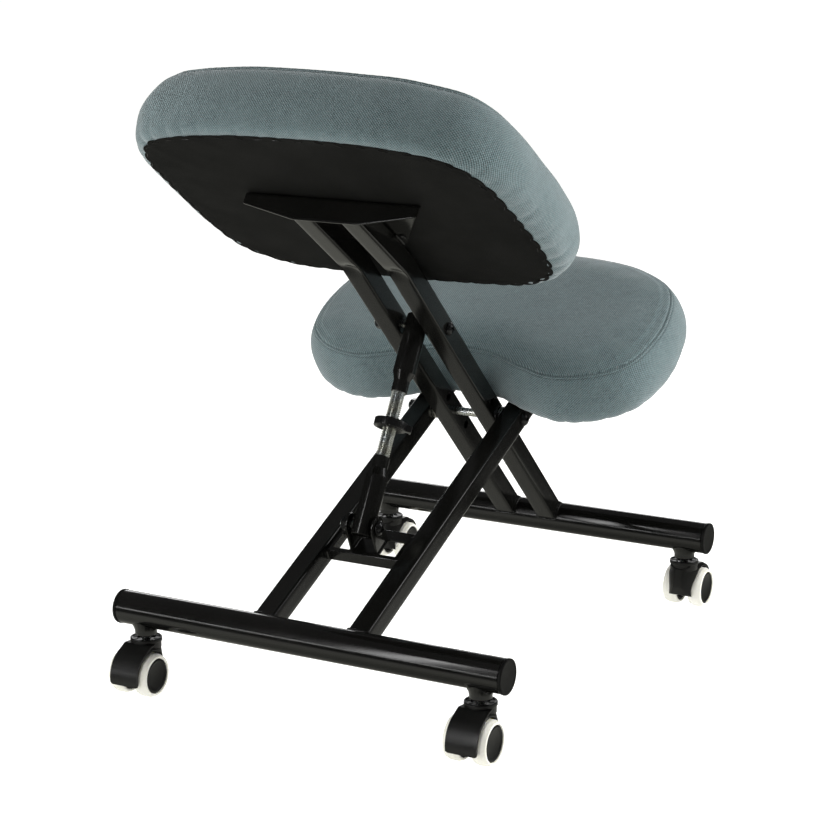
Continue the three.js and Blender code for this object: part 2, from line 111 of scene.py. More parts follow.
def at(x=0, y=0, z=0):
    return Matrix.Translation((x, y, z))


def tilted(angle):
    return Matrix.Rotation(math.radians(angle), 4, "X")


ALONG_X = Matrix(((0, 0, 1, 0), (1, 0, 0, 0), (0, 1, 0, 0), (0, 0, 0, 1)))
HALF_TURN = Matrix.Rotation(math.pi, 4, "Z")
rear_y = joint_at("rear_left_swivel").y
front_y = joint_at("front_left_swivel").y
rear_bar = at(0, rear_y, BAR.height)
front_bar = at(0, front_y, BAR.height)
knee_line = rear_bar @ tilted(-KNEE_ARM.tilt)
seat_line = front_bar @ tilted(SEAT_ARM.tilt)
seat_top = seat_line @ at(0, SEAT_ARM.bend_at) @ tilted(SEAT_ARM.top_tilt - SEAT_ARM.tilt)
seat_pad = seat_top @ at(0, SEAT_PAD_AT, PAD_RISE)
knee_pad = knee_line @ at(0, -KNEE_PAD_AT, PAD_RISE)
stem_x = joint_at("rear_left_swivel").x
scissor = joint_at("frame_fold")
lower_pin = joint_at("adjuster_swing")
wheel_at = joint_at("wheel_turn")
adjuster_axis = Vector(joints["screw_travel"]["axis"]).normalized()
adjuster_tilt = math.degrees(math.atan2(-adjuster_axis.y, adjuster_axis.z))
adjuster = Matrix.Translation(lower_pin) @ tilted(adjuster_tilt)
adjuster_length = 2 * (wheel_at - lower_pin).length
pivot_on_seat = (seat_line.inverted() @ scissor).y
pivot_on_knee = (knee_line.inverted() @ scissor).y


# ---- Shapes: a shape is its points and its faces ----
def skin(rings, capped=True, looped=False):
    """A surface over a stack of rings with equal numbers of points."""
    rings = np.array(rings, float)
    levels, count = rings.shape[:2]
    faces = []
    for level in range(levels if looped else levels - 1):
        low, high = level * count, (level + 1) % levels * count
        for i in range(count):
            j = (i + 1) % count
            faces.append((low + i, low + j, high + j, high + i))
    if capped and not looped:
        faces.append(tuple(range(count))[::-1])
        faces.append(tuple(range((levels - 1) * count, levels * count)))
    return rings.reshape(-1, 3), faces


def merged(*shapes):
    points, faces, start = [], [], 0
    for some, polygons in shapes:
        points.append(some)
        faces += [tuple(i + start for i in polygon) for polygon in polygons]
        start += len(some)
    return np.vstack(points), faces


def moved(shape, matrix):
    m = np.array(matrix)
    return shape[0] @ m[:3, :3].T + m[:3, 3], shape[1]


def rounded(points, radius, closed=True, steps=4):
    """The points of a polyline with its corners turned into arcs."""
    points = [np.array(p, float) for p in points]
    made = []
    for i, corner in enumerate(points):
        if not closed and i in (0, len(points) - 1):
            made.append(corner)
            continue
        before = points[i - 1] - corner
        after = points[(i + 1) % len(points)] - corner
        sides = np.linalg.norm(before), np.linalg.norm(after)
        before, after = before / sides[0], after / sides[1]
        angle = math.acos(float(np.clip(before @ after, -1, 1)))
        reach = min(radius / max(math.tan(angle / 2), 1e-3), 0.49 * min(sides))
        for t in np.linspace(0, 1, steps + 1):
            start, end = corner + before * reach, corner + after * reach
            made.append((1 - t) ** 2 * start + 2 * t * (1 - t) * corner + t * t * end)
    return np.array(made)


def leveled(flat, height):
    """Points of a plane at a height."""
    return np.column_stack([flat, np.full(len(flat), height)])


def ring(radius, sides):
    angles = np.arange(sides) * 2 * math.pi / sides
    return np.column_stack([np.cos(angles), np.sin(angles)]) * radius


def lathe(profile, sides=64):
    """A turned shape about Z. The profile is (radius, height), and it is a loop where it misses the axis."""
    on_axis = profile[0][0] == 0 or profile[-1][0] == 0
    rings = [leveled(ring(radius, sides), height) for radius, height in profile]
    return skin(rings, capped=on_axis, looped=not on_axis)


def normals_of(outline):
    """Outward unit normals at the points of a closed outline."""
    outline = np.array(outline, float)
    edges = np.roll(outline, -1, 0) - outline
    x, y = outline.T
    way = math.copysign(1, float(np.sum(x * np.roll(y, -1) - np.roll(x, -1) * y)))
    normals = np.column_stack([edges[:, 1], -edges[:, 0]]) * way
    normals /= np.linalg.norm(normals, axis=1)[:, None] + 1e-12
    both = normals + np.roll(normals, 1, 0)
    return both / (np.linalg.norm(both, axis=1)[:, None] + 1e-12)


def slab(outline, low, high, bevel=0.5, steps=3):
    """A plate over an outline in XY, with rounded rims."""
    outline = np.array(outline, float)
    normals = normals_of(outline)
    turns = [math.pi / 2 * k / steps for k in range(steps + 1)]
    rims = [(low + bevel * (1 - math.cos(t)), bevel * (1 - math.sin(t))) for t in turns]
    rims += [(high + low - height, inset) for height, inset in reversed(rims)]
    return skin([leveled(outline - normals * inset, height) for height, inset in rims])


def sweep(path, section, closed=False, scale=None):
    """A section of (side, up) points carried along a path, turning as little as it can."""
    path = np.array(path, float)
    ahead = np.roll(path, -1, 0) - np.roll(path, 1, 0) if closed else np.gradient(path, axis=0)
    ahead /= np.linalg.norm(ahead, axis=1)[:, None]
    any_side = [0.31, 0.52, 0.79]
    start = np.cross(ahead[0], any_side)
    sides = [start / np.linalg.norm(start)]
    for direction in ahead[1:]:
        turned = sides[-1] - direction * (sides[-1] @ direction)
        sides.append(turned / np.linalg.norm(turned))
    ups = np.cross(sides, ahead)
    scale = np.ones(len(path)) if scale is None else scale
    rings = [
        point + np.outer(section[:, 0] * size, across) + np.outer(section[:, 1] * size, up)
        for point, across, up, size in zip(path, sides, ups, scale, strict=True)
    ]
    return skin(rings, looped=closed)


def distances(path):
    """How far along a path each of its points is."""
    return np.concatenate([[0], np.cumsum(np.linalg.norm(np.diff(path, axis=0), axis=1))])


def sampled(places, along, table):
    """The rows of a table at places along it."""
    return np.column_stack([np.interp(places, along, column) for column in table.T])


def evenly(path, step, closed=False):
    """The path's points spaced evenly."""
    path = np.array(path, float)
    if closed:
        path = np.vstack([path, path[:1]])
    along = distances(path)
    places = np.linspace(0, along[-1], max(3, round(along[-1] / step) + 1))
    return sampled(places[:-1] if closed else places, along, path)


def bead(path, size, closed=False):
    """A weld bead: a rope along a path with one ripple for each pitch."""
    step, pitch = 0.7, 2.8
    path = evenly(path, step, closed)
    along = np.arange(len(path)) * step
    unevenness = np.array([noise.noise(Vector(p) * 0.12) for p in path])
    size_along = 1 + 0.1 * np.abs(np.sin(along * math.pi / pitch)) + 0.25 * unevenness
    if not closed:
        size_along *= np.sqrt(np.clip(np.minimum(along, along[-1] - along) / 3 + 0.15, 0, 1))
    return sweep(path, ring(size, 12), closed=closed, scale=size_along)


def thread(radius, pitch, low, high, hand=1, sides=48):
    """A threaded rod along Z, with a rounded crest and root."""
    rows_per_turn, depth = 8, 0.7 * pitch
    heights = np.arange(low, high + 1e-6, pitch / rows_per_turn)
    angles = np.arange(sides) * 2 * math.pi / sides
    rings = []
    for height in heights:
        phase = 2 * math.pi * height / pitch - hand * angles
        wave = 0.5 - 0.5 * np.cos(phase)
        radii = radius - depth * np.clip(1.25 * wave - 0.1, 0, 1)
        fade = min(1, (height - low) / pitch + 0.4, (high - height) / pitch + 0.4)
        radii *= 1 - 0.12 * (1 - fade)
        rings.append(leveled(ring(1, sides) * radii[:, None], height))
    return skin(rings)


def mesh_of(name, shape):
    """A mesh of a shape with shared points merged and its faces turned outwards."""
    mesh = bpy.data.meshes.new(name)
    mesh.from_pydata([tuple(p) for p in shape[0]], [], shape[1])
    edit = bmesh.new()
    edit.from_mesh(mesh)
    bmesh.ops.remove_doubles(edit, verts=edit.verts, dist=1e-4)
    bmesh.ops.dissolve_degenerate(edit, edges=edit.edges, dist=1e-4)
    bmesh.ops.recalc_face_normals(edit, faces=edit.faces)
    edit.to_mesh(mesh)
    edit.free()
    return mesh


def linked(name, data):
    """A new object in the scene."""
    made = bpy.data.objects.new(name, data)
    scene.collection.objects.link(made)
    return made


def outcome(thing):
    """The shape of an object after its modifiers."""
    made = thing.evaluated_get(bpy.context.evaluated_depsgraph_get()).to_mesh()
    return np.array([v.co for v in made.vertices]), [tuple(p.vertices) for p in made.polygons]


def boolean(shape, operation, tools):
    body = linked("body", mesh_of("body", shape))
    others = [linked("tool", mesh_of("tool", tool)) for tool in tools]
    for other in others:
        modifier = body.modifiers.new("cut", "BOOLEAN")
        modifier.operation = operation
        modifier.solver = "EXACT"
        modifier.object = other
    made = outcome(body)
    for one in [body, *others]:
        bpy.data.objects.remove(one)
    return made


def cut(shape, *tools):
    return boolean(shape, "DIFFERENCE", tools)


def united(shape, *others):
    return boolean(shape, "UNION", others)


def rod(radius, low, high, sides=48, matrix=ALONG_X):
    """A plain round bar along X, or along Z with another matrix."""
    return moved(lathe([(0, low), (radius, low), (radius, high), (0, high)], sides), matrix)


def block(low, high):
    """A box between two corners."""
    outline = [(low[0], low[1]), (high[0], low[1]), (high[0], high[1]), (low[0], high[1])]
    return skin([leveled(outline, z) for z in (low[2], high[2])])


# ---- Materials ----
def tinted(color, factor):
    """A colour times one factor, or times one for each channel."""
    return tuple(float(c) for c in np.array(color) * factor)


class Finish:
    """One procedural material, with short calls for its nodes."""

    def __init__(self, name, color, roughness, constants=()):
        self.material = bpy.data.materials.new(name)
        self.material.use_nodes = True
        self.tree = self.material.node_tree
        self.shader = self.tree.nodes["Principled BSDF"]
        self.material.diffuse_color = (*color, 1)
        self.shader.inputs["Base Color"].default_value = (*color, 1)
        self.shader.inputs["Roughness"].default_value = roughness
        for key, value in dict(constants).items():
            self.shader.inputs[key].default_value = value

    def add(self, kind, inputs, **settings):
        made = self.tree.nodes.new("ShaderNode" + kind)
        for key, value in settings.items():
            setattr(made, key, value)
        for key, value in inputs.items():
            self.feed(made.inputs[key], value)
        return made

    def feed(self, socket, value):
        if isinstance(value, bpy.types.NodeSocket):
            self.tree.links.new(value, socket)
        else:
            socket.default_value = value

    def set(self, socket, value):
        self.feed(self.shader.inputs[socket], value)

    def place(self, scale=(1, 1, 1), source=None):
        """The piece's own coordinates in metres, or those of another source, stretched."""
        if source is None:
            source = self.add("TexCoord", {}).outputs["Object"]
        return self.add("Mapping", {"Vector": source, "Scale": scale}).outputs[0]

    def math(self, operation, a, b=0.0):
        return self.add("Math", {0: a, 1: b}, operation=operation).outputs[0]

    def weighted(self, a, weight_a, b, weight_b):
        """The sum of two values, each times its weight."""
        return self.math("ADD", self.math("MULTIPLY", a, weight_a), self.math("MULTIPLY", b, weight_b))

    def noise(self, scale, detail=2.0, vector=None, roughness=0.5):
        inputs = {"Scale": scale, "Detail": detail, "Roughness": roughness}
        inputs["Vector"] = self.place() if vector is None else vector
        return self.add("TexNoise", inputs).outputs[0]

    def between(self, value, low, high, start=0.0, end=1.0):
        """The value's range start..end mapped to low..high."""
        inputs = {"Value": value, "From Min": start, "From Max": end, "To Min": low, "To Max": high}
        return self.add("MapRange", inputs).outputs[0]

    def mix(self, factor, a, b):
        made = self.add("Mix", {0: factor}, data_type="RGBA")
        for socket, value in ((made.inputs[6], a), (made.inputs[7], b)):
            self.feed(socket, (*value, 1) if isinstance(value, tuple) else value)
        return made.outputs[2]

    def bump(self, height, strength, distance):
        inputs = {"Height": height, "Strength": strength, "Distance": distance}
        self.set("Normal", self.add("Bump", inputs).outputs[0])


def painted(name, color, roughness, peel=0.04):
    """Paint or powder coat with orange peel, dust and a little unevenness in its gloss."""
    finish = Finish(name, color, roughness, {"IOR": 1.5})
    both = finish.noise(14, 3)
    finish.set("Roughness", finish.between(both, roughness - 0.03, roughness + 0.03, 0.3, 0.7))
    finish.set("Base Color", finish.mix(finish.between(both, 0, 0.5, 0.45, 0.75), color, tinted(color, 1.8)))
    finish.bump(finish.noise(700, 1), peel, 0.0003)
    return finish.material


def moulded(name, color, roughness, grain=700, gloss=0.5):
    """Moulded plastic with a fine spark-eroded grain."""
    finish = Finish(name, color, roughness, {"IOR": 1.47, "Specular IOR Level": gloss})
    cloud = finish.noise(30, 3)
    finish.set("Roughness", finish.between(cloud, roughness - 0.06, roughness + 0.1, 0.3, 0.7))
    finish.set("Base Color", finish.mix(finish.between(cloud, 0, 0.6, 0.4, 0.8), color, tinted(color, 1.7)))
    finish.bump(finish.noise(grain, 3), 0.18, 0.0003)
    return finish.material


def plated(name, color, roughness):
    """Zinc plate with a faint blue and yellow bloom, and tool marks."""
    finish = Finish(name, color, roughness, {"Metallic": 1.0})
    cloud = finish.noise(60, 4)
    bluish, warm = tinted(color, (0.95, 0.98, 1.02)), tinted(color, (1.03, 1.01, 0.95))
    finish.set("Base Color", finish.mix(finish.between(cloud, 0, 1, 0.35, 0.65), bluish, warm))
    marks = finish.noise(900, 3, finish.place((1, 0.15, 0.15)))
    finish.set("Roughness", finish.between(marks, roughness - 0.1, roughness + 0.14, 0.3, 0.7))
    finish.bump(marks, 0.08, 0.0002)
    return finish.material


def rubbered(name, color):
    """Soft off-white tread with dust on it."""
    soft = {"Subsurface Weight": 0.08, "Subsurface Radius": (0.002, 0.002, 0.001)}
    finish = Finish(name, color, 0.45, soft)
    dust = finish.weighted(finish.noise(45, 4), 0.6, finish.noise(420, 3), 0.4)
    grubby = tinted(color, (0.8, 0.78, 0.72))
    finish.set("Base Color", finish.mix(finish.between(dust, 0, 0.7, 0.48, 0.72), color, grubby))
    finish.set("Roughness", finish.between(dust, 0.36, 0.6, 0.3, 0.7))
    finish.bump(dust, 0.12, 0.0003)
    return finish.material


WEAVE = 0.003


def woven(name, dark, light, fleck):
    """Twill upholstery, with painted shade in the low places of the weave, between the yarns. The cloth map
    holds the cloth's own coordinates in metres.
    """
    nap = {"Sheen Weight": 0.35, "Sheen Roughness": 0.45, "Specular IOR Level": 0.25}
    finish = Finish(name, light, 0.92, nap)
    cloth = finish.add("UVMap", {}, uv_map="cloth").outputs[0]
    split = finish.add("SeparateXYZ", {0: cloth})
    turns = 2 * math.pi / WEAVE
    u = finish.math("MULTIPLY", split.outputs[0], turns)
    v = finish.math("MULTIPLY", split.outputs[1], turns)
    twill = finish.math("COSINE", finish.math("ADD", u, v))
    cross = finish.math("COSINE", finish.math("SUBTRACT", u, v))
    both = finish.weighted(twill, 0.36, cross, 0.2)
    slub = finish.noise(1, 2, finish.place((900, 90, 1), cloth))
    warp = finish.noise(1, 2, finish.place((90, 900, 1), cloth))
    yarn = finish.weighted(slub, 0.5, warp, 0.5)
    height = finish.math("ADD", finish.math("ADD", both, 0.5), finish.between(yarn, -0.3, 0.3, 0.3, 0.7))
    cloud = finish.noise(26, 3, cloth)
    # The dark colour goes to the weave's low places: painted shade between the yarns, lighter on their tops
    body = finish.mix(finish.between(height, 0, 1, 0.05, 0.95), dark, light)
    shaded = finish.mix(finish.between(cloud, 0, 0.35, 0.35, 0.65), body, tinted(light, 0.72))
    spots = finish.noise(520, 1, cloth)
    finish.set("Base Color", finish.mix(finish.between(spots, 0, 0.4, 0.56, 0.72), shaded, fleck))
    finish.bump(height, 0.55, 0.0005)
    return finish.material


def felted(name, color):
    """Thin non-woven fabric: short fibres at all angles, in cloudy patches."""
    finish = Finish(name, color, 0.85, {"Specular IOR Level": 0.12})
    fibres = finish.noise(1500, 4, roughness=0.7)
    cloud = finish.noise(20, 3)
    mixed = finish.weighted(fibres, 0.6, cloud, 0.4)
    finish.set("Base Color", finish.mix(finish.between(mixed, 0, 0.8, 0.4, 0.65), color, tinted(color, 2.2)))
    finish.set("Roughness", finish.between(fibres, 0.7, 0.95, 0.3, 0.7))
    finish.bump(mixed, 0.4, 0.0004)
    return finish.material


def wooden(name, color):
    finish = Finish(name, color, 0.7)
    grain = finish.noise(40, 5, finish.place((1, 12, 1)))
    finish.set("Base Color", finish.mix(finish.between(grain, 0, 1, 0.3, 0.7), color, tinted(color, 0.55)))
    finish.bump(grain, 0.2, 0.0005)
    return finish.material


STEEL = painted("black_powder_coat", (0.0035, 0.0035, 0.0031), 0.17)
BLACKENED = painted("blackened_fastener", (0.004, 0.004, 0.004), 0.22, peel=0.02)
CAP_PLASTIC = moulded("end_cap_plastic", (0.0042, 0.0042, 0.0039), 0.5, gloss=0.18)
HOOD_PLASTIC = moulded("hood_plastic", (0.0045, 0.0045, 0.0042), 0.36)
HUB_PLASTIC = moulded("hub_plastic", (0.005, 0.005, 0.0045), 0.42, 500, 0.3)
WHEEL_PLASTIC = moulded("wheel_plastic", (0.004, 0.004, 0.004), 0.25)
ZINC = plated("zinc_plate", (0.78, 0.79, 0.77), 0.26)
TYRE = rubbered("white_tread", (0.78, 0.77, 0.7))
FABRIC = woven("blue_grey_twill", (0.024, 0.038, 0.041), (0.155, 0.215, 0.222), (0.17, 0.16, 0.16))
STITCH = woven("stitch_yarn", (0.022, 0.032, 0.035), (0.06, 0.08, 0.084), (0.07, 0.08, 0.08))
FELT = felted("black_dust_cover", (0.0045, 0.0045, 0.004))
PLYWOOD = wooden("plywood", (0.45, 0.3, 0.17))


# ---- Pieces ----
def piece(name, shape, place, material, body, slot, *replaces, sharp=32):
    """A new piece in place, riding on its body. The slot, the record's, is not used, and replaces are CAD
    nodes.
    """
    mesh = shape if isinstance(shape, bpy.types.Mesh) else mesh_of(name, shape)
    mesh.transform(Matrix.Scale(MM, 4) @ place)
    mesh.materials.append(material)
    mesh.shade_smooth()
    if sharp:
        mesh.set_sharp_from_angle(angle=math.radians(sharp))
    made = linked(name, mesh)
    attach(made, body)
    if replaces:
        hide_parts(*replaces)
    return made


# ---- Camera, floor and lights ----
CAMERA_AT = (-1.2173, 2.2753, 0.9106)
CAMERA_BACK = (-0.4650, 0.8536, 0.2348)
CAMERA_LENS = 98.9
FLOOR_GLOW = 1.0


def aim(thing, place, back):
    """Puts a camera or a light in place, with its back turned to a direction."""
    thing.location = place
    thing.rotation_mode = "QUATERNION"
    thing.rotation_quaternion = Vector(back).to_track_quat("Z", "Y")


def make_camera():
    data = bpy.data.cameras.new("camera")
    data.lens = CAMERA_LENS
    data.sensor_width = 36
    camera = linked("camera", data)
    aim(camera, CAMERA_AT, CAMERA_BACK)
    scene.camera = camera


def make_floor():
    """A pale floor that glows as if evenly lit, and a wall far off that meets it."""
    half = 40
    corners = [(-half, -half, 0), (half, -half, 0), (half, half, 0), (-half, half, 0)]
    mesh = bpy.data.meshes.new("floor")
    mesh.from_pydata(corners, [], [(0, 1, 2, 3)])
    glow = {"Specular IOR Level": 0.0, "Emission Color": (1, 1, 0.98, 1), "Emission Strength": FLOOR_GLOW}
    finish = Finish("pale_floor", (0.5, 0.5, 0.5), 0.8, glow)
    mesh.materials.append(finish.material)
    floor = linked("floor", mesh)
    floor.visible_glossy = False
    wall_rings = [leveled(ring(0.97 * half, 48), z) for z in (-1, half)]
    wall = linked("backdrop", mesh_of("backdrop", skin(wall_rings, capped=False)))
    wall.data.materials.append(finish.material)
    wall.visible_glossy = wall.visible_diffuse = wall.visible_shadow = False


def make_softbox(name, place, target, size, power, rays):
    """An area light that the camera never sees, for the diffuse rays or for the glossy rays."""
    data = bpy.data.lights.new(name, "AREA")
    data.shape = "RECTANGLE"
    data.size, data.size_y = size
    data.energy = power
    light = linked(name, data)
    aim(light, place, Vector(place) - Vector(target))
    light.visible_camera = False
    light.visible_diffuse = rays == "diffuse"
    light.visible_glossy = rays == "glossy"


def make_world():
    """A pale ground, a dark horizon, and a dim dome above it."""
    world = bpy.data.worlds.new("studio")
    scene.world = world
    world.use_nodes = True
    tree = world.node_tree
    direction = tree.nodes.new("ShaderNodeTexCoord")
    split = tree.nodes.new("ShaderNodeSeparateXYZ")
    ramp = tree.nodes.new("ShaderNodeValToRGB")
    height = tree.nodes.new("ShaderNodeMapRange")
    tree.links.new(direction.outputs["Generated"], split.inputs[0])
    tree.links.new(split.outputs[2], height.inputs["Value"])
    height.inputs["From Min"].default_value = -1
    tree.links.new(height.outputs[0], ramp.inputs[0])
    stops = [
        (0.0, (0.15, 0.15, 0.135)), (0.1, (0.3, 0.3, 0.265)), (0.2, (0.6, 0.6, 0.53)),
        (0.31, (0.7, 0.7, 0.64)), (0.37, (0.015,) * 3), (0.62, (0.02,) * 3), (1.0, (0.12,) * 3),
    ]
    for i, (place, color) in enumerate(stops):
        stop = ramp.color_ramp.elements[i] if i < 2 else ramp.color_ramp.elements.new(place)
        stop.position = place
        stop.color = (*color, 1)
    tree.links.new(ramp.outputs[0], tree.nodes["Background"].inputs[0])


def make_studio():
    make_camera()
    make_floor()
    make_world()
    middle = (0, 0, 0.35)
    make_softbox("left_fill", (2.3, 1.3, 1.2), middle, (1.2, 1.6), 44, "diffuse")
    make_softbox("right_fill", (-2.2, -0.9, 1.3), middle, (1.2, 1.6), 95, "diffuse")
    make_softbox("seat_fill", (0.5, 1.9, 0.75), (0, 0.3, 0.6), (1.2, 0.8), 11, "diffuse")
    make_softbox("top_fill", (0.2, 0.2, 2.8), middle, (1.6, 1.6), 16, "diffuse")
    make_softbox("bar_strip", (1.5, 2.85, 0.3), middle, (2.6, 0.1), 9, "glossy")
    make_softbox("tall_strip", (1.15, 3.1, 1.5), middle, (0.25, 2.0), 16, "glossy")
    make_softbox("right_strip", (-2.7, -1.9, 1.2), middle, (0.6, 1.8), 12, "glossy")
    make_softbox("rim_strip", (1.7, -3.1, 0.75), middle, (2.6, 0.9), 22, "glossy")
    scene.view_settings.view_transform = "Standard"


# ---- Caster bars ----
def saddle(radius, outline, sign=1):
    """The outline's (x, z) points lying on a round bar, on its side that faces sign * Y."""
    outline = np.array(outline, float)
    depth = np.sqrt(radius**2 - outline[:, 1] ** 2)
    return np.column_stack([outline[:, 0], sign * depth, outline[:, 1]])


def boss_flare():
    """The weld that spreads from a stem boss onto the round of the bar."""
    rings = []
    for t in np.linspace(0, 1, 9):
        wide = BOSS.radius + 0.1 + 2.4 * (1 - t) ** 2
        foot = ring(wide, 72)
        on_bar = -np.sqrt(BAR.radius ** 2 - foot[:, 1] ** 2)
        height = on_bar * (1 - t) - (BAR.radius + 5.5) * t - 0.4 * (1 - t)
        ripple = 1 + 0.012 * np.sin(np.arange(72) * math.pi / 2) * (1 - t)
        rings.append(np.column_stack([foot * ripple[:, None], height]))
    return skin(rings)


def caster_bar():
    outer, inner, half = BAR.radius, BAR.radius - BAR.wall, BAR.half
    profile = rounded([(inner, -half), (outer, -half), (outer, half), (inner, half)], 0.5)
    shapes = [moved(lathe(profile, 96), ALONG_X)]
    for x in (-stem_x, stem_x):
        low = -outer - BOSS.drop
        wide, inside = BOSS.radius, -12
        boss = lathe(rounded([(0, low), (wide, low), (wide, inside), (0, inside)], 1, False), 64)
        shapes += [moved(shape, at(x)) for shape in (boss, boss_flare())]
    return merged(*shapes)


def end_cap():
    """A plug with a rim that turns in to a flat face with a shallow ring."""
    rim, plug = BAR.radius + 0.6, BAR.radius - BAR.wall - GAP
    profile = [(0, -12), (plug, -12), (plug, 0.3), (rim, 0.3), (rim, 4), (16.2, 4), (15.8, 3.7), (0, 3.9)]
    return lathe(rounded(profile, 1.1, False), 96)


def make_bars():
    for end, place, body in (("rear", rear_bar, "knee_frame"), ("front", front_bar, "seat_frame")):
        piece(f"{end}_bar_tube", caster_bar(), place, STEEL, body, "black_steel", f"{end}_caster_bar")
        for side, sign in SIDES:
            turn = at() if sign > 0 else HALF_TURN
            cap_place = place @ at(sign * BAR.half) @ turn @ ALONG_X
            node = f"{end}_{side}_end_cap"
            piece(node + "_plug", end_cap(), cap_place, CAP_PLASTIC, body, "end_cap_plastic", node)


# ---- Scissor arms ----
def square_section(half, corner):
    """A rounded square as (side, up) points, with extra points along its sides."""
    across = 4
    corners = [(half, -half), (half, half), (-half, half), (-half, -half)]
    outline = rounded(corners, corner, steps=6)
    made = []
    for start, end in zip(outline, np.roll(outline, -1, 0), strict=True):
        gap = np.linalg.norm(end - start)
        count = across if gap > half / 2 else 1
        made += [start + (end - start) * k / count for k in range(count)]
    return np.array(made)


def tube_along(path, dent=None):
    """A square tube with open ends along a path in the YZ plane. dent pushes the underside in at places."""
    rings = []
    path = np.array(path, float)
    ahead = np.gradient(path, axis=0)
    ahead /= np.linalg.norm(ahead, axis=1)[:, None]
    for half, corner, way in ((ARM.side / 2, ARM.corner, 1), (ARM.side / 2 - ARM.wall, 1.5, -1)):
        section = square_section(half, corner)
        stack = []
        for i, point in enumerate(path):
            up = np.array([0, -ahead[i][2], ahead[i][1]])
            raised = section[:, 1].copy()
            if dent is not None:
                flat = np.clip(1 - (section[:, 0] / half) ** 2, 0, 1)
                raised += dent[i] * flat * (section[:, 1] < -half + 0.1)
            stack.append(point + np.outer(section[:, 0], [1, 0, 0]) + np.outer(raised, up))
        rings += stack[::way]
    return rings


def coped(rings, index, sign):
    """Lets the ring at an index lie on the caster bar."""
    rings[index][:, 1] = sign * np.sqrt((BAR.radius + 0.2) ** 2 - rings[index][:, 2] ** 2)


def arm_weld(sign):
    """The weld round the foot of an arm, on the bar's side that faces sign * Y."""
    foot = saddle(BAR.radius + GAP, square_section(ARM.side / 2, ARM.corner), sign)
    return bead(foot, 1.9, closed=True)


def knee_arm():
    path = [(0, -y, 0) for y in np.linspace(BAR.radius, KNEE_ARM.length, 16)]
    rings = tube_along(path)
    coped(rings, 0, -1)
    coped(rings, -1, -1)
    tube = skin(rings, looped=True)
    drilled = cut(tube, moved(rod(SPARE_HOLE.radius + 0.2, -20, 20), at(0, pivot_on_knee)))
    return merged(drilled, arm_weld(-1))


def seat_arm_path():
    """Along the arm and round its bend, with a bend radius of a hand-sized former."""
    turn = math.radians(SEAT_ARM.tilt - SEAT_ARM.top_tilt)
    radius = 90
    reach = radius * math.tan(turn / 2)
    start = SEAT_ARM.bend_at - reach
    step, near = 3, 24
    straight = np.linspace(BAR.radius, start - near, 14)
    points = [(0, y, 0) for y in [*straight, *(start - np.arange(near - step, 0, -step))]]
    for angle in np.linspace(0, turn, 9):
        points.append((0, start + radius * math.sin(angle), -radius * (1 - math.cos(angle))))
    end = np.array(points[-1])
    ahead = np.array([0, math.cos(turn), -math.sin(turn)])
    left = SEAT_ARM.top_length - reach
    for distance in [*np.arange(step, near + 1, step), *np.linspace(30, left, 6)]:
        points.append(tuple(end + ahead * distance))
    return np.array(points)


def seat_arm():
    path = seat_arm_path()
    bend = np.array([0, SEAT_ARM.bend_at, 0])
    away = np.linalg.norm(path - bend, axis=1)
    rings = tube_along(path, dent=2.6 * np.exp(-((away / 11) ** 2)))
    coped(rings, 0, 1)
    coped(rings, -1, 1)
    holes = [pivot_on_seat, UPPER_PIN_AT]
    holes += [pivot_on_seat + way * SPARE_HOLE.pitch for way in (-1, 1)]
    tools = [moved(rod(SPARE_HOLE.radius + 0.2, -20, 20), at(0, y)) for y in holes]
    return merged(cut(skin(rings, looped=True), *tools), arm_weld(1))


def make_arms():
    for side, sign in SIDES:
        place = knee_line @ at(sign * KNEE_ARM.x)
        node = f"{side}_knee_arm"
        piece(node + "_tube", knee_arm(), place, STEEL, "knee_frame", "black_steel", node)
        place = seat_line @ at(sign * SEAT_ARM.x)
        node = f"{side}_seat_arm"
        piece(node + "_tube", seat_arm(), place, STEEL, "seat_frame", "black_steel", node)


# ---- Fasteners ----
def cross_slot(reach, half, low, high):
    """The two bars of a cross recess."""
    return [block((-x, -y, low), (x, y, high)) for x, y in ((reach, half), (half, reach))]


def dome_head(radius, height=6.2):
    """A domed head with a cross recess on the -X side, with its underside at x = 0."""
    dome = [(0, 1), (0.5, 0.94), (0.82, 0.7), (1, 0.34)]
    profile = [(radius * out, -height * share) for out, share in dome] + [(radius, -0.3), (0, -0.3)]
    head = lathe(rounded(profile, 1.2, False), 48)
    return moved(cut(head, *cross_slot(0.55 * radius, 1, -height - 1, -height * 0.55)), ALONG_X)


def hex_nut(across, thick):
    """A hexagon nut with chamfered corners along X, from x = 0.3."""
    corner, chamfer, bore = across / 2, 1.2, PIN_HOLE
    prism = lathe([(bore, 0), (corner, 0), (corner, thick), (bore, thick)], 6)
    cone = lathe([
        (bore, 0), (corner - chamfer, 0), (corner + 0.2, chamfer), (corner + 0.2, thick - chamfer),
        (corner - chamfer, thick), (bore, thick)], 48)
    return moved(boolean(prism, "INTERSECT", [cone]), ALONG_X @ at(0, 0, 0.3))


def make_bolt(prefix, place, reach, head, body):
    """A domed bolt, its plated shank with a threaded tail, and its nut."""
    shank, pitch, tail = 4.9, 1.5, 11
    piece(f"{prefix}_bolt_head", dome_head(head / 2), place @ at(-reach), BLACKENED, body, "black_steel")
    smooth = rod(shank, -reach - 0.5, reach - 2)
    tip = moved(thread(shank, pitch, reach - 2, reach + tail, sides=32), ALONG_X)
    piece(f"{prefix}_bolt_shank", merged(smooth, tip), place, ZINC, body, "zinc_steel", f"{prefix}_bolt")
    nut_place = place @ at(reach)
    piece(f"{prefix}_lock_nut", hex_nut(18, 8), nut_place, BLACKENED, body, "zinc_steel", f"{prefix}_nut")


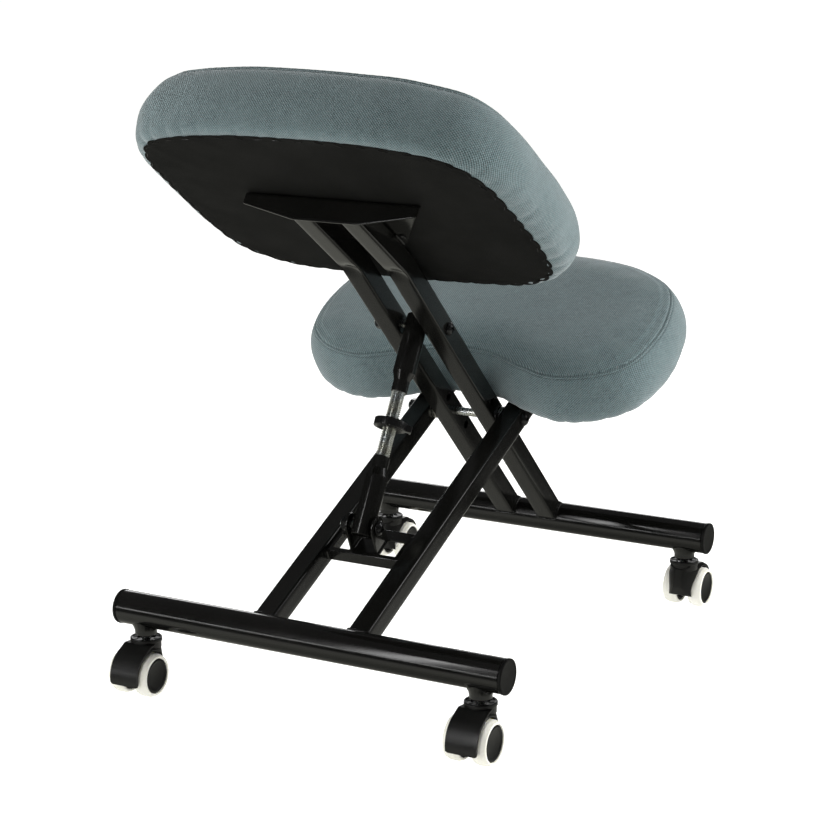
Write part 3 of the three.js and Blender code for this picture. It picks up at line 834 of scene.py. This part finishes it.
def make_fasteners():
    knee_outer = KNEE_ARM.x + ARM.side / 2
    seat_outer = SEAT_ARM.x + ARM.side / 2
    make_bolt("scissor", Matrix.Translation(scissor), knee_outer, 17, "knee_frame")
    make_bolt("lower_adjuster", adjuster, EAR.x + CROSS.plate / 2, 17, "knee_frame")
    make_bolt("upper_adjuster", adjuster @ at(0, 0, adjuster_length), seat_outer, 15, "seat_frame")
    room = KNEE_ARM.x - SEAT_ARM.x - ARM.side
    for side, sign in SIDES:
        half = room / 2 - GAP
        profile = [(PIN_HOLE, -half), (12, -half), (12, half), (PIN_HOLE, half)]
        spacer = lathe(rounded(profile, 0.5), 48)
        place = Matrix.Translation(scissor) @ at(sign * (seat_outer + room / 2)) @ ALONG_X
        node = f"{side}_scissor_washer"
        piece(node + "_spacer", spacer, place, ZINC, "knee_frame", "zinc_steel", node)


# ---- Crossmember ----
def crossmember():
    """A channel with two windows, and two ears bent up from its web."""
    rear, front, top, deep = CROSS.rear, CROSS.front, CROSS.top, CROSS.flange
    plate = CROSS.plate
    low = top - deep
    outline = rounded([
        (front, low), (front + plate, low), (front + plate, top - plate), (rear - plate, top - plate),
        (rear - plate, low), (rear, low), (rear, top), (front, top)], 1.6)
    channel = moved(slab(outline, -CROSS.half, CROSS.half, 0.3), ALONG_X)
    windows = []
    for sign in (-1, 1):
        inner, outer = sorted((sign * WINDOW.inner, sign * WINDOW.outer))
        middle, half = -EAR.at, WINDOW.half
        windows.append(block((inner, middle - half, 0), (outer, middle + half, 20)))
    shapes = [cut(channel, *windows)]
    wide = EAR.radius
    turns = np.linspace(0, math.pi, 25)
    arc = [(wide * math.cos(t), EAR.rise + wide * math.sin(t)) for t in turns]
    outline = [(y - EAR.at, z) for y, z in [(wide, top - 2), *arc, (-wide, top - 2)]]
    pin = moved(rod(PIN_HOLE, -20, 20), at(0, -EAR.at, EAR.rise))
    ear = cut(moved(slab(outline, -plate / 2, plate / 2, 0.5), ALONG_X), pin)
    for sign in (-1, 1):
        shapes.append(moved(ear, at(sign * EAR.x)))
        root = [(sign * (EAR.x - 1.6), y - EAR.at, top + 0.2) for y in (-wide, wide)]
        shapes.append(bead(root, 1.7))
    for sign in (-1, 1):
        for y in (front, rear):
            x = sign * (CROSS.half + 0.2)
            shapes.append(bead([(x, y + 0.2 * sign, top - 1), (x, y + 0.2 * sign, low + 1)], 1.8))
    return merged(*shapes)


# ---- Screw adjuster ----
def sleeve(pin_hole):
    """A tube swaged down to the neck that holds the screw, drilled for its pin."""
    outer, neck, bore = SLEEVE.radius, SLEEVE.neck, SLEEVE.bore
    tail, barrel, shoulder, mouth = -SLEEVE.tail, SLEEVE.barrel, SLEEVE.shoulder, SLEEVE.mouth
    hole = SCREW.radius + GAP
    corners = [
        (bore, tail), (outer, tail), (outer, barrel), (neck, shoulder), (neck, mouth),
        (hole, mouth), (hole, shoulder - 2), (bore, barrel - 2),
    ]
    wall = lathe(rounded(corners, 3.2, steps=6), 72)
    return cut(wall, rod(pin_hole, -20, 20))


def hand_wheel():
    """A dished disc with a hooked lug on its rim."""
    radius, half, bore = HAND_WHEEL.radius, HAND_WHEEL.half, SCREW.radius + GAP
    profile = [
        (bore, -half), (radius - 4, -half), (radius - 3, -half + 0.8), (radius, -half + 0.8),
        (radius, half - 0.8), (radius - 3, half - 0.8), (radius - 4, half),
        (bore + 3, half), (bore + 2, half - 1), (bore, half - 1),
    ]
    disc = lathe(rounded(profile, 1.0), 80)
    hook = rounded([
        (radius - 3, 3.5), (radius + 3, 4.5), (radius + 3, 9.5), (radius + 5, 9.5), (radius + 6.5, -4.5),
        (radius - 3, -4.5)], 1.4)
    lug = moved(slab(hook, -4.5, 3, 1.0), Matrix.Rotation(math.radians(205), 4, "Z"))
    return united(disc, lug)


def make_adjuster():
    steel, channel = "black_steel", crossmember()
    piece("crossmember_channel", channel, knee_line, STEEL, "knee_frame", steel, "crossmember")
    flipped = adjuster @ at(0, 0, adjuster_length) @ tilted(180)
    for end, place, hole in (("lower", adjuster, PIN_HOLE), ("upper", flipped, PIN_HOLE + UPPER_SLACK)):
        node = f"{end}_sleeve"
        piece(f"{node}_tube", sleeve(hole), place, STEEL, node, steel, node)
    middle = adjuster @ at(0, 0, adjuster_length / 2)
    radius, half, pitch = SCREW.radius, SCREW.half, SCREW.pitch
    screw = merged(
        thread(radius, pitch, 3, half, hand=1),
        thread(radius, pitch, -half, -3, hand=-1),
        rod(radius - 0.4, -5, 5, matrix=at()),
    )
    piece("threaded_screw", screw, middle, ZINC, "adjuster_screw", "zinc_thread", "adjuster_screw", sharp=50)
    wheel = "adjuster_wheel"
    piece("hand_wheel", hand_wheel(), middle, WHEEL_PLASTIC, wheel, "wheel_plastic", wheel)


# ---- Brackets ----
def sheet_metal(grid, thick, bevel=0.35):
    """A bent plate over a grid of points, with rounded rims."""
    rows, columns = len(grid), len(grid[0])
    points = [tuple(p) for row in grid for p in row]
    faces = []
    for r in range(rows - 1):
        for c in range(columns - 1):
            a = r * columns + c
            faces.append((a, a + 1, a + columns + 1, a + columns))
    mesh = bpy.data.meshes.new("plate")
    mesh.from_pydata(points, [], faces)
    plate = linked("plate", mesh)
    solidify = plate.modifiers.new("thick", "SOLIDIFY")
    solidify.thickness = thick
    solidify.offset = 1
    rim = plate.modifiers.new("rim", "BEVEL")
    rim.width = bevel
    rim.segments = 2
    rim.limit_method = "ANGLE"
    rim.angle_limit = math.radians(50)
    made = outcome(plate)
    bpy.data.objects.remove(plate)
    return made


def seat_bracket():
    """A tapering plate that folds down into a shallow trapezoid lip at the rear."""
    half, far, depth = BRACKET.half, BRACKET.half_far, BRACKET.depth
    shares = np.linspace(-1, 1, 41)
    bend = 3
    grid = []
    for y in np.linspace(-depth, -bend, 12):
        wide = far + (half - far) * (y + depth) / depth
        grid.append([(s * wide, y, 0) for s in shares])
    for angle in np.linspace(0.3, math.pi / 2 - 0.2, 5):
        y, z = bend * (math.sin(angle) - 1), bend * (math.cos(angle) - 1)
        grid.append([(s * half, y, z) for s in shares])
    for drop in np.linspace(0, 1, 9):
        row = []
        for s in shares:
            x = s * half
            slope = (abs(x) - BRACKET.skirt_flat) / (half - BRACKET.skirt_flat)
            deep = BRACKET.skirt - (BRACKET.skirt - BRACKET.rim) * max(0, slope)
            row.append((x, 0, -bend - drop * (deep - bend)))
        grid.append(row)
    return sheet_metal(grid, BRACKET.plate)


def pan_screw():
    """A pan-head screw with its axis along Z and its head below."""
    head = lathe(rounded([(0, -2.6), (2.6, -2.5), (4.2, -1.2), (4.4, 0), (0, 0)], 0.6, False), 32)
    return merged(cut(head, *cross_slot(2.2, 0.5, -3, -1.2)), rod(2, 0, 11, 16, at()))


def make_brackets():
    rise = PAD_RISE - GAP
    place = seat_top @ at(0, SEAT_ARM.top_length + GAP + BRACKET.plate, rise)
    welds = []
    for x in (-SEAT_ARM.x, SEAT_ARM.x):
        for side in (-1, 1):
            edge = x + side * (ARM.side / 2 + 0.6)
            for y in (-12, -78):
                welds.append(bead([(edge, y, -2.4), (edge, y - 24, -2.4)], 1.6))
        welds.append(bead([(x - 11, -3.4, -15), (x + 11, -3.4, -15)], 1.6))
    plate = moved(seat_bracket(), at(0, -BRACKET.plate, -BRACKET.plate))
    shape = merged(plate, *welds)
    piece("seat_bracket_plate", shape, place, STEEL, "seat_frame", "black_steel", "seat_bracket")
    half = KNEE_ARM.x + ARM.side / 2
    outline = rounded([(-half, -80), (half, -80), (half, 80), (-half, 80)], 6, steps=8)
    place_knee = knee_line @ at(0, -KNEE_PAD_AT, ARM.side / 2 + GAP)
    shape = slab(outline, 0, BRACKET.plate, 0.4)
    piece("knee_bracket_plate", shape, place_knee, STEEL, "knee_frame", "black_steel", "knee_bracket")
    seat_spots = [(-49, -82), (49, -82), (-86, -22), (86, -22)]
    knee_spots = [(x, y) for x in (-38, 38) for y in (-66, 66)]
    for pad, spots, where, low in (
        ("seat", seat_spots, place, -BRACKET.plate),
        ("knee", knee_spots, place_knee, 0),
    ):
        heads = merged(*[moved(pan_screw(), at(x, y, low)) for x, y in spots])
        piece(f"{pad}_board_screws", heads, where, BLACKENED, f"{pad}_frame", "black_steel")


# ---- Casters ----
def hood():
    """A cup over the stem, a web between the wheels and a fender round their backs."""
    trail, axle = CASTER.trail, CASTER.axle
    room = CASTER.wheel + HOOD.clear
    back, top, low = HOOD.cup, HOOD.top, HOOD.floor

    def arc(radius, start, end, steps):
        turns = np.radians(np.linspace(start, end, steps))
        return [(trail + radius * math.cos(t), axle + radius * math.sin(t)) for t in turns]

    shoulder = [(trail + 6, top - 8), (back - 2, top - 5), (-back + 5, top - 5)]
    front = rounded([(-back, top - 9), (-back, 30), (-back + 3, 20)], 6, False).tolist()
    end, thick = HOOD.end, HOOD.fender
    fender = arc(room + thick, end, 66, 28)
    inside = arc(room, 194, end, 40)
    outline = fender + rounded(shoulder, 3, False).tolist() + front + inside
    shell = slab(outline, -HOOD.half, HOOD.half, 1.3, 4)
    foot = [(trail - 8, low), (trail + 10, low + 1)]
    web = slab(fender + shoulder + front + foot, -HOOD.web, HOOD.web, 0.8)
    middle = np.array([0, trail, axle])
    cup = rounded([
        (5, top - 12), (back - 1, top - 12), (back - 1, top - 4.5), (back, top - 4), (back, top - 0.5),
        (back - 1.6, top), (back - 3, top - 1.2), (10.5, top - 1.2), (9.5, top - 2.5), (5, top - 2.5)], 0.6)
    ribs = [lathe([(5, top - 4.5), (back - 2, top - 4.5), (back - 2, top - 3.2), (5, top - 3.2)], 48)]
    for k in range(8):
        rib = block((9.8, -0.7, top - 4), (back - 2, 0.7, top - 0.8))
        ribs.append(moved(rib, Matrix.Rotation(k * math.pi / 4 + 0.2, 4, "Z")))
    inside_shell = (1, 0.96, 0.96)
    web = middle + (moved(web, ALONG_X)[0] - middle) * inside_shell, web[1]
    points, faces = merged(moved(shell, ALONG_X), web)
    limit = np.sqrt(np.maximum((back + 0.3) ** 2 - np.minimum(points[:, 1], 0) ** 2, 4))
    corner = 5
    turned = np.degrees(np.arctan2(points[:, 2] - axle, points[:, 1] - trail)) - end
    risen = np.clip(np.radians(turned) * (room + thick), 0, corner)
    on_fender = (points[:, 1] > trail) & (np.abs(points[:, 0]) > HOOD.web + 0.1)
    round_end = HOOD.half - corner + np.sqrt(corner**2 - (corner - risen) ** 2)
    limit = np.where(on_fender, np.minimum(limit, round_end), limit)
    points[:, 0] = np.clip(points[:, 0], -limit, limit)
    return merged((points, faces), lathe(cup, 72), *ribs)


def stem():
    """A plated pin with a collar that stands on the hood, up into the boss."""
    boss = BAR.height - BAR.radius - BOSS.drop - GAP
    low, high, pin, collar, thick = 46, 86, 5, 8, 2
    lower = [(0, low), (pin - 0.5, low), (pin - 0.5, boss - thick), (collar, boss - thick)]
    upper = [(collar, boss), (pin, boss), (pin, high), (0, high)]
    return lathe(rounded(lower + upper, 0.5, False), 48)


def wheel_faces():
    """Where a wheel's inner and outer faces are along its axle."""
    return CASTER.gauge - CASTER.tread / 2, CASTER.gauge + CASTER.tread / 2


def hub():
    """A dished disc with a raised middle, facing outwards along +X, and its bore behind."""
    inner, outer = wheel_faces()
    rim, bore = CASTER.hub - GAP, 3.3
    turned = rounded([
        (bore, inner + 1), (7, inner + 1), (8, inner + 4), (rim - 4, inner + 4),
        (rim - 3, inner + 1), (rim, inner + 1), (rim, outer - 1.2), (rim - 2.2, outer - 0.5),
        (rim - 5, outer - 1.6), (6, outer - 2.8),
    ], 0.8, False)
    sharp = [(0, outer - 2.6), (0, outer - 5), (bore, outer - 5)]
    return moved(lathe(turned.tolist() + sharp, 72), ALONG_X)


def tyre():
    """A round-shouldered tread over the hub, with its outside worn by the load."""
    inner, outer = wheel_faces()
    wear = 0.31
    hub_edge, tread = CASTER.hub, CASTER.wheel - wear
    profile = [
        (hub_edge, inner), (tread - 2, inner), (tread, inner + 5), (tread, outer - 5), (tread - 2, outer),
        (hub_edge, outer),
    ]
    return moved(lathe(rounded(profile, 3.4, steps=6), 96), ALONG_X)


def make_casters():
    hood_shape, stem_shape, hub_shape, tyre_shape = hood(), stem(), hub(), tyre()
    pin_shape = rod(3, -20, 20, 32)
    for end, y, turn, frame_body in (
        ("rear", rear_y, at(), "knee_frame"),
        ("front", front_y, HALF_TURN, "seat_frame"),
    ):
        for side, sign in SIDES:
            name = f"{end}_{side}"
            caster = f"{name}_caster"
            place = at(joint_at(name + "_swivel").x, y) @ turn
            axle = place @ at(0, CASTER.trail, CASTER.axle)
            piece(f"{name}_stem_pin", stem_shape, place, ZINC, frame_body, "zinc_steel", f"{name}_stem")
            node = f"{name}_hood"
            piece(f"{node}_shell", hood_shape, place, HOOD_PLASTIC, caster, "hood_plastic", node)
            node = f"{name}_axle"
            piece(f"{node}_pin", pin_shape, axle, ZINC, caster, "zinc_steel", node)
            for wheel, way in (("outer", sign), ("inner", -sign)):
                node, body = f"{name}_{wheel}", f"{name}_{wheel}_wheel"
                facing = way if end == "rear" else -way
                wheel_place = axle if facing > 0 else axle @ HALF_TURN
                piece(f"{body}_hub", hub_shape, wheel_place, HUB_PLASTIC, body, "hub_plastic", f"{node}_hub")
                piece(f"{body}_tyre", tyre_shape, wheel_place, TYRE, body, "white_tyre", f"{node}_tyre")


# ---- Pads ----
AROUND = 480
CLOTH_SHARE = 0.45
CLOTH_FRAMES = 20
CLOTH_VOXEL = 0.0055
GATHER = 24
STITCH_BELOW_SEAM = 4.2
BOARD_TOP = 13.4


def smooth_loop(knots, closed, per_span=24):
    """Points of a centripetal spline through the knots."""
    knots = np.array(knots, float)
    count = len(knots)
    made = []
    for i in range(count if closed else count - 1):
        if closed:
            four = [knots[(i + k) % count] for k in (-1, 0, 1, 2)]
        else:
            four = [knots[max(0, i - 1)], knots[i], knots[i + 1], knots[min(count - 1, i + 2)]]
            if i == 0:
                four[0] = 2 * four[1] - four[2]
            if i == count - 2:
                four[3] = 2 * four[2] - four[1]
        t = [0.0]
        for a, b in zip(four, four[1:]):
            t.append(t[-1] + math.sqrt(np.linalg.norm(b - a)))
        for u in np.linspace(t[1], t[2], per_span, endpoint=False):
            a = [((t[k + 1] - u) * four[k] + (u - t[k]) * four[k + 1]) / (t[k + 1] - t[k]) for k in range(3)]
            b = [((t[k + 2] - u) * a[k] + (u - t[k]) * a[k + 1]) / (t[k + 2] - t[k]) for k in range(2)]
            made.append(((t[2] - u) * b[0] + (u - t[1]) * b[1]) / (t[2] - t[1]))
    if not closed:
        made.append(knots[-1])
    return np.array(made)


def full_outline(half):
    """The pad's outline: evenly spaced points, their outward normals and the distance round to each."""
    knots = list(half) + [(-x, y) for x, y in half[-2:0:-1]]
    points = evenly(smooth_loop(knots, True), 1, closed=True)
    points = np.vstack([points, points[:1]])
    along = distances(points)
    places = np.arange(AROUND) * along[-1] / AROUND
    even = sampled(places, along, points)
    return even, normals_of(even), places, along[-1]


def section_rings(section, seam_height, mean_radius):
    """The rows of the section at each ring, closer together at the seam, and the distances along it."""
    fine = smooth_loop(section, False, 40)
    reach = fine[:, 1] + (fine[:, 2] - 1) * mean_radius
    along = distances(np.column_stack([fine[:, 0], reach]))
    seam = along[np.argmax(fine[:, 0] > seam_height)]
    places, here = [0.0], 0.0
    while here < along[-1]:
        away = abs(here - seam)
        step = 0.55 if away < 7 else min(2.6, 0.55 + (away - 7) * 0.4)
        if here > seam + 12:
            step = min(8, 2.6 + (here - seam - 12) * 0.06)
        here += step
        places.append(min(here, along[-1]))
    return sampled(places, along, fine), np.array(places), seam


def bend_of(normals):
    """From 0 on a straight stretch to 1 on the tightest corner, smoothed along the outline."""
    turn = np.abs(np.cross(normals, np.roll(normals, -1, 0)))
    kernel = np.hanning(31) / np.hanning(31).sum()
    smooth = np.convolve(np.concatenate([turn[-15:], turn, turn[:15]]), kernel, "valid")
    return np.clip(smooth / smooth.max(), 0, 1)


def simulate(points, faces, pinned):
    """Cloth with pressure over a remeshed copy: its start points and how far each moved."""
    mesh = bpy.data.meshes.new("inflated")
    mesh.from_pydata([tuple(p * MM) for p in points], [], faces)
    soft = linked("inflated", mesh)
    remesh = soft.modifiers.new("remesh", "REMESH")
    remesh.mode = "VOXEL"
    remesh.voxel_size = CLOTH_VOXEL
    graph = bpy.context.evaluated_depsgraph_get()
    coarse = bpy.data.meshes.new_from_object(soft.evaluated_get(graph))
    soft.modifiers.clear()
    soft.data = coarse
    start = np.array([v.co for v in coarse.vertices])
    group = soft.vertex_groups.new(name="pinned")
    group.add([int(i) for i in np.nonzero(start[:, 2] < pinned * MM)[0]], 1.0, "ADD")
    cloth = soft.modifiers.new("cloth", "CLOTH")
    settings = cloth.settings
    settings.quality = 5
    settings.use_pressure = True
    settings.uniform_pressure_force = 4
    settings.tension_stiffness = settings.compression_stiffness = 12
    settings.bending_stiffness = 0.6
    settings.effector_weights.gravity = 0
    settings.vertex_group_mass = "pinned"
    for number in range(1, CLOTH_FRAMES + 1):
        scene.frame_set(number)
    end = outcome(soft)[0]
    bpy.data.objects.remove(soft)
    scene.frame_set(1)
    return start / MM, (end - start) / MM


def carried(points, start, travel, most):
    """The travel of the nearest simulated points, capped, at each of the points."""
    length = np.linalg.norm(travel, axis=1)[:, None]
    travel = travel * np.minimum(1, most / np.maximum(length, 1e-6))
    tree = KDTree(len(start))
    for i, p in enumerate(start):
        tree.insert(p, i)
    tree.balance()
    made = np.zeros_like(points)
    for i, p in enumerate(points):
        near = tree.find_n(p, 8)
        weights = np.array([1 / (distance + 2) ** 2 for _, _, distance in near])
        made[i] = weights @ travel[[index for _, index, _ in near]] / weights.sum()
    return made


class Pad:
    """The fine surface of one pad, in millimetres, in the pad's own frame.

    swell is the most that the cloth may move, pucker is the depth of its gathers, slant leans its top along X.
    """

    def __init__(self, edge, section, seam_height, swell, pucker, slant):
        self.edge, self.normals, self.around, self.length = full_outline(edge)
        mean_radius = float(np.linalg.norm(self.edge, axis=1).mean())
        self.rings, self.along, self.seam = section_rings(section, seam_height, mean_radius)
        self.corner = bend_of(self.normals)
        self.gathers = round(self.length / GATHER)
        self.swell = swell
        self.pucker = pucker
        self.slant = slant
        self.points = self.surface(self.rings)
        self.soften()
        self.outward = self.vertex_normals()
        self.sew()

    def surface(self, rings):
        made = []
        ends = self.normals[:, :1] ** 2
        for height, growth, scale, bulge in rings:
            flat = (self.edge + self.normals * (growth + bulge * ends)) * scale
            made.append(leveled(flat, height))
        return np.array(made)

    def faces(self, levels):
        made = []
        for level in range(levels - 1):
            for i in range(AROUND):
                j = (i + 1) % AROUND
                low, high = level * AROUND, (level + 1) * AROUND
                made.append((low + i, high + i, high + j, low + j))
        return made

    def soften(self):
        """Settles the cover as cloth under the pressure of its foam, and adds slack."""
        flat, faces = skin(self.points[::3, ::4])
        start, travel = simulate(flat, faces, pinned=4)
        eased = carried(self.points.reshape(-1, 3), start, travel - travel.mean(axis=0), self.swell)
        free = CLOTH_SHARE * np.clip((self.rings[:, 0] - 6) / 20, 0, 1)
        self.points = self.points + free[:, None, None] * eased.reshape(self.points.shape)
        for level, row in enumerate(self.points):
            slack = min(1, self.rings[level][0] / 10)
            for p in row:
                p[2] += 0.9 * slack * noise.noise(Vector(p) / 60)
                drift = 1.1 * slack * noise.noise(Vector(p) / 45 + Vector((9, 3, 1)))
                p[:2] *= 1 + drift / 190
                p[2] *= 1 + self.slant * p[0]

    def vertex_normals(self):
        across = np.roll(self.points, -1, 1) - np.roll(self.points, 1, 1)
        up = np.gradient(self.points, axis=0)
        normals = np.cross(up, across)
        return normals / (np.linalg.norm(normals, axis=2)[:, :, None] + 1e-9)

    def sew(self):
        """Sinks the seam and the topstitch line, and gathers the cloth where it is stapled below."""
        def swelling(height, place, width):
            return height * np.exp(-(((self.along - self.seam - place) / width) ** 2))

        groove = swelling(-1.5, 0, 0.9) + swelling(-0.5, -STITCH_BELOW_SEAM, 0.8)
        ridge = swelling(0.45, -2.1, 1.3) + swelling(0.5, 3, 2.5)
        height = self.rings[:, 0]
        phase = np.pi * self.gathers * self.around / self.length
        wobble = np.array([noise.noise(Vector((x, y, 0)) / 37) for x, y in self.edge])
        lobes = np.abs(np.sin(phase + 0.8 * wobble)) ** 0.6 - 0.6
        strength = self.pucker * (0.9 + 1.6 * self.corner + 0.8 * wobble)
        fall = np.exp(-np.clip(height - 3, 0, 200) / 13) * np.clip(height / 3, 0, 1)
        fall[self.along > self.seam] = 0
        pull = (groove + ridge)[:, None] + np.outer(fall, lobes * strength)
        shift = pull * (1 + 0.15 * np.sin(2 * np.pi * self.around / 9.5))
        self.points = self.points + self.outward * shift[:, :, None]

    def cushion_mesh(self, name, lean):
        """The closed cushion with a pocket for its board, and the cloth's coordinates in metres."""
        pocket = self.points[0].copy()
        pocket[:, 2] = BOARD_TOP
        points = np.vstack([pocket[None], self.points]).reshape(-1, 3)
        levels = len(self.points) + 1
        faces = self.faces(levels)
        faces.append(tuple(range(AROUND)))
        mesh = bpy.data.meshes.new(name)
        mesh.from_pydata([tuple(p) for p in points], [], faces)
        layer = mesh.uv_layers.new(name="cloth")
        turn = np.append(self.around, self.length)
        seam_level = int(np.argmax(self.along > self.seam)) + 1
        coordinates = np.zeros((len(mesh.loops), 2))
        loop = 0
        for level in range(levels - 1):
            for i in range(AROUND):
                for row, column in ((level, i), (level + 1, i), (level + 1, i + 1), (level, i + 1)):
                    if level + 1 >= seam_level:
                        x, y = points[row * AROUND + column % AROUND][:2]
                        coordinates[loop] = x, y
                    else:
                        coordinates[loop] = lean * turn[column], self.along[max(0, row - 1)]
                    loop += 1
        layer.data.foreach_set("uv", (coordinates * MM).ravel())
        return mesh

    def point_at(self, place, distance):
        """A point on the surface and its outward normal, at a place round the outline."""
        column = place / self.length * AROUND
        i, share = int(column) % AROUND, column % 1
        j = (i + 1) % AROUND
        level = float(np.interp(distance, self.along, np.arange(len(self.along))))
        low, part = int(level), level % 1
        high = min(low + 1, len(self.along) - 1)

        def mixed(grid):
            lower = grid[low, i] * (1 - share) + grid[low, j] * share
            upper = grid[high, i] * (1 - share) + grid[high, j] * share
            return lower * (1 - part) + upper * part

        return mixed(self.points), mixed(self.outward)


def stitches(pad, distance):
    """Short curved stitches in a row round the pad."""
    length, gap = 3.6, 1.3
    shapes = []
    count = round(pad.length / (length + gap))
    section = ring(0.42, 6)
    for k in range(count):
        start = k * pad.length / count
        path = []
        for t in np.linspace(0, 1, 5):
            point, outward = pad.point_at((start + t * length) % pad.length, distance)
            path.append(point + outward * (0.35 * math.sin(math.pi * t) - 0.1))
        shapes.append(sweep(path, section, scale=np.array([0.5, 1, 1, 1, 0.5])))
    return merged(*shapes)


def dust_cover(pad):
    """A thin sheet with a turned and stapled edge: its surface and the places of its staples."""
    phase = np.pi * pad.gathers * pad.around / pad.length
    wobble = np.array([noise.noise(Vector((x, y, 5)) / 33) for x, y in pad.edge])
    lobes = np.abs(np.sin(phase + 0.8 * wobble)) ** 0.55
    hidden = np.maximum(pad.normals[:, 0] ** 2, np.clip(-2 * pad.normals[:, 1], 0, 1))
    reach = -4.2 + lobes * (1.3 + 2.3 * hidden + 0.8 * pad.corner + 0.8 * wobble)
    rows = []
    inner = pad.edge - pad.normals * 20
    for scale in (0, 0.25, 0.5, 0.7, 0.82, 0.9, 0.96, 1):
        rows.append((inner * scale, np.zeros(AROUND)))
    for share in np.linspace(0.1, 1, 14):
        growth = -20 + share * (20 + reach)
        lift = 1.5 * np.clip((growth + 12) / 9, 0, 1) ** 1.5
        pucker = 0.45 * np.sin(2 * phase) * pad.corner * share
        turned_in = share > 0.95
        rows.append((pad.edge + pad.normals * growth[:, None], lift + (0 if turned_in else pucker)))
    points = []
    for flat, height in rows:
        row = []
        for (x, y), z in zip(flat, height, strict=True):
            clear = max(abs(x) / 120, abs(y) / 125)
            sag = 0.9 * max(0, min(1, 3 * (clear - 0.9))) * (noise.noise(Vector((x, y, 0)) / 26) - 0.2)
            row.append((x, y, z + min(0, sag)))
        points.append(row)
    top = np.array(points)
    under = top.copy()
    top[:, :, 2] += 0.7
    under[-3:, :, 2] -= 0.45
    edge = (top[-1] + under[-1]) / 2
    edge[:, :2] += pad.normals * 0.35
    rings = list(under) + [edge] + list(top[::-1])
    return skin(rings, capped=False), under[-2]


def staple_row(pad, line):
    """Wire staples across the turned edge, one in each gather."""
    shapes = []
    section = ring(0.38, 8)
    for k in range(pad.gathers):
        i = round((k + 0.08) * AROUND / pad.gathers) % AROUND
        ahead = Vector(line[(i + 1) % AROUND] - line[i - 1]).normalized()
        slant = Matrix.Rotation(0.5 * noise.noise(Vector((k * 1.7, 0, 0))), 4, "Z")
        ahead = slant @ ahead
        middle = Vector(line[i]) - Vector((*pad.normals[i], 0)) * 1.2
        low = middle.z - 0.75
        corners = [middle + ahead * d for d in (-4.6, -4.6, 4.6, 4.6)]
        for corner, z in zip(corners, (low + 2.5, low, low, low + 2.5), strict=True):
            corner.z = z
        path = rounded(corners, 0.8, False)
        shapes.append(sweep(path, section))
    return merged(*shapes)


def make_pad(prefix, pad, place, body, lean):
    name, node = f"{prefix}_upholstery", f"{prefix}_cushion"
    cover = pad.cushion_mesh(name, lean)
    cushion = piece(name, cover, place, FABRIC, body, "blue_grey_fabric", node, sharp=None)
    sewn = stitches(pad, pad.seam - STITCH_BELOW_SEAM)
    piece(f"{prefix}_topstitch", sewn, place, STITCH, body, "blue_grey_fabric")
    cover, line = dust_cover(pad)
    felt = piece(f"{prefix}_felt", cover, place, FELT, body, "black_felt", f"{prefix}_dust_cover", sharp=60)
    piece(f"{prefix}_staples", staple_row(pad, line), place, BLACKENED, body, "black_steel")
    board = frame["nodes"][f"{prefix}_board"].data.materials
    board.clear()
    board.append(PLYWOOD)


def make_pads():
    seat = Pad(SEAT_EDGE, SEAT_SECTION, SEAM_HEIGHT.seat, swell=2.5, pucker=1.0, slant=0.0002)
    make_pad("seat", seat, seat_pad, "seat_frame", lean=-1)
    knee = Pad(KNEE_EDGE, KNEE_SECTION, SEAM_HEIGHT.knee, swell=2.5, pucker=0.6, slant=0)
    make_pad("knee", knee, knee_pad, "knee_frame", lean=1)


make_studio()
make_bars()
make_arms()
make_fasteners()
make_adjuster()
make_brackets()
make_casters()
make_pads()
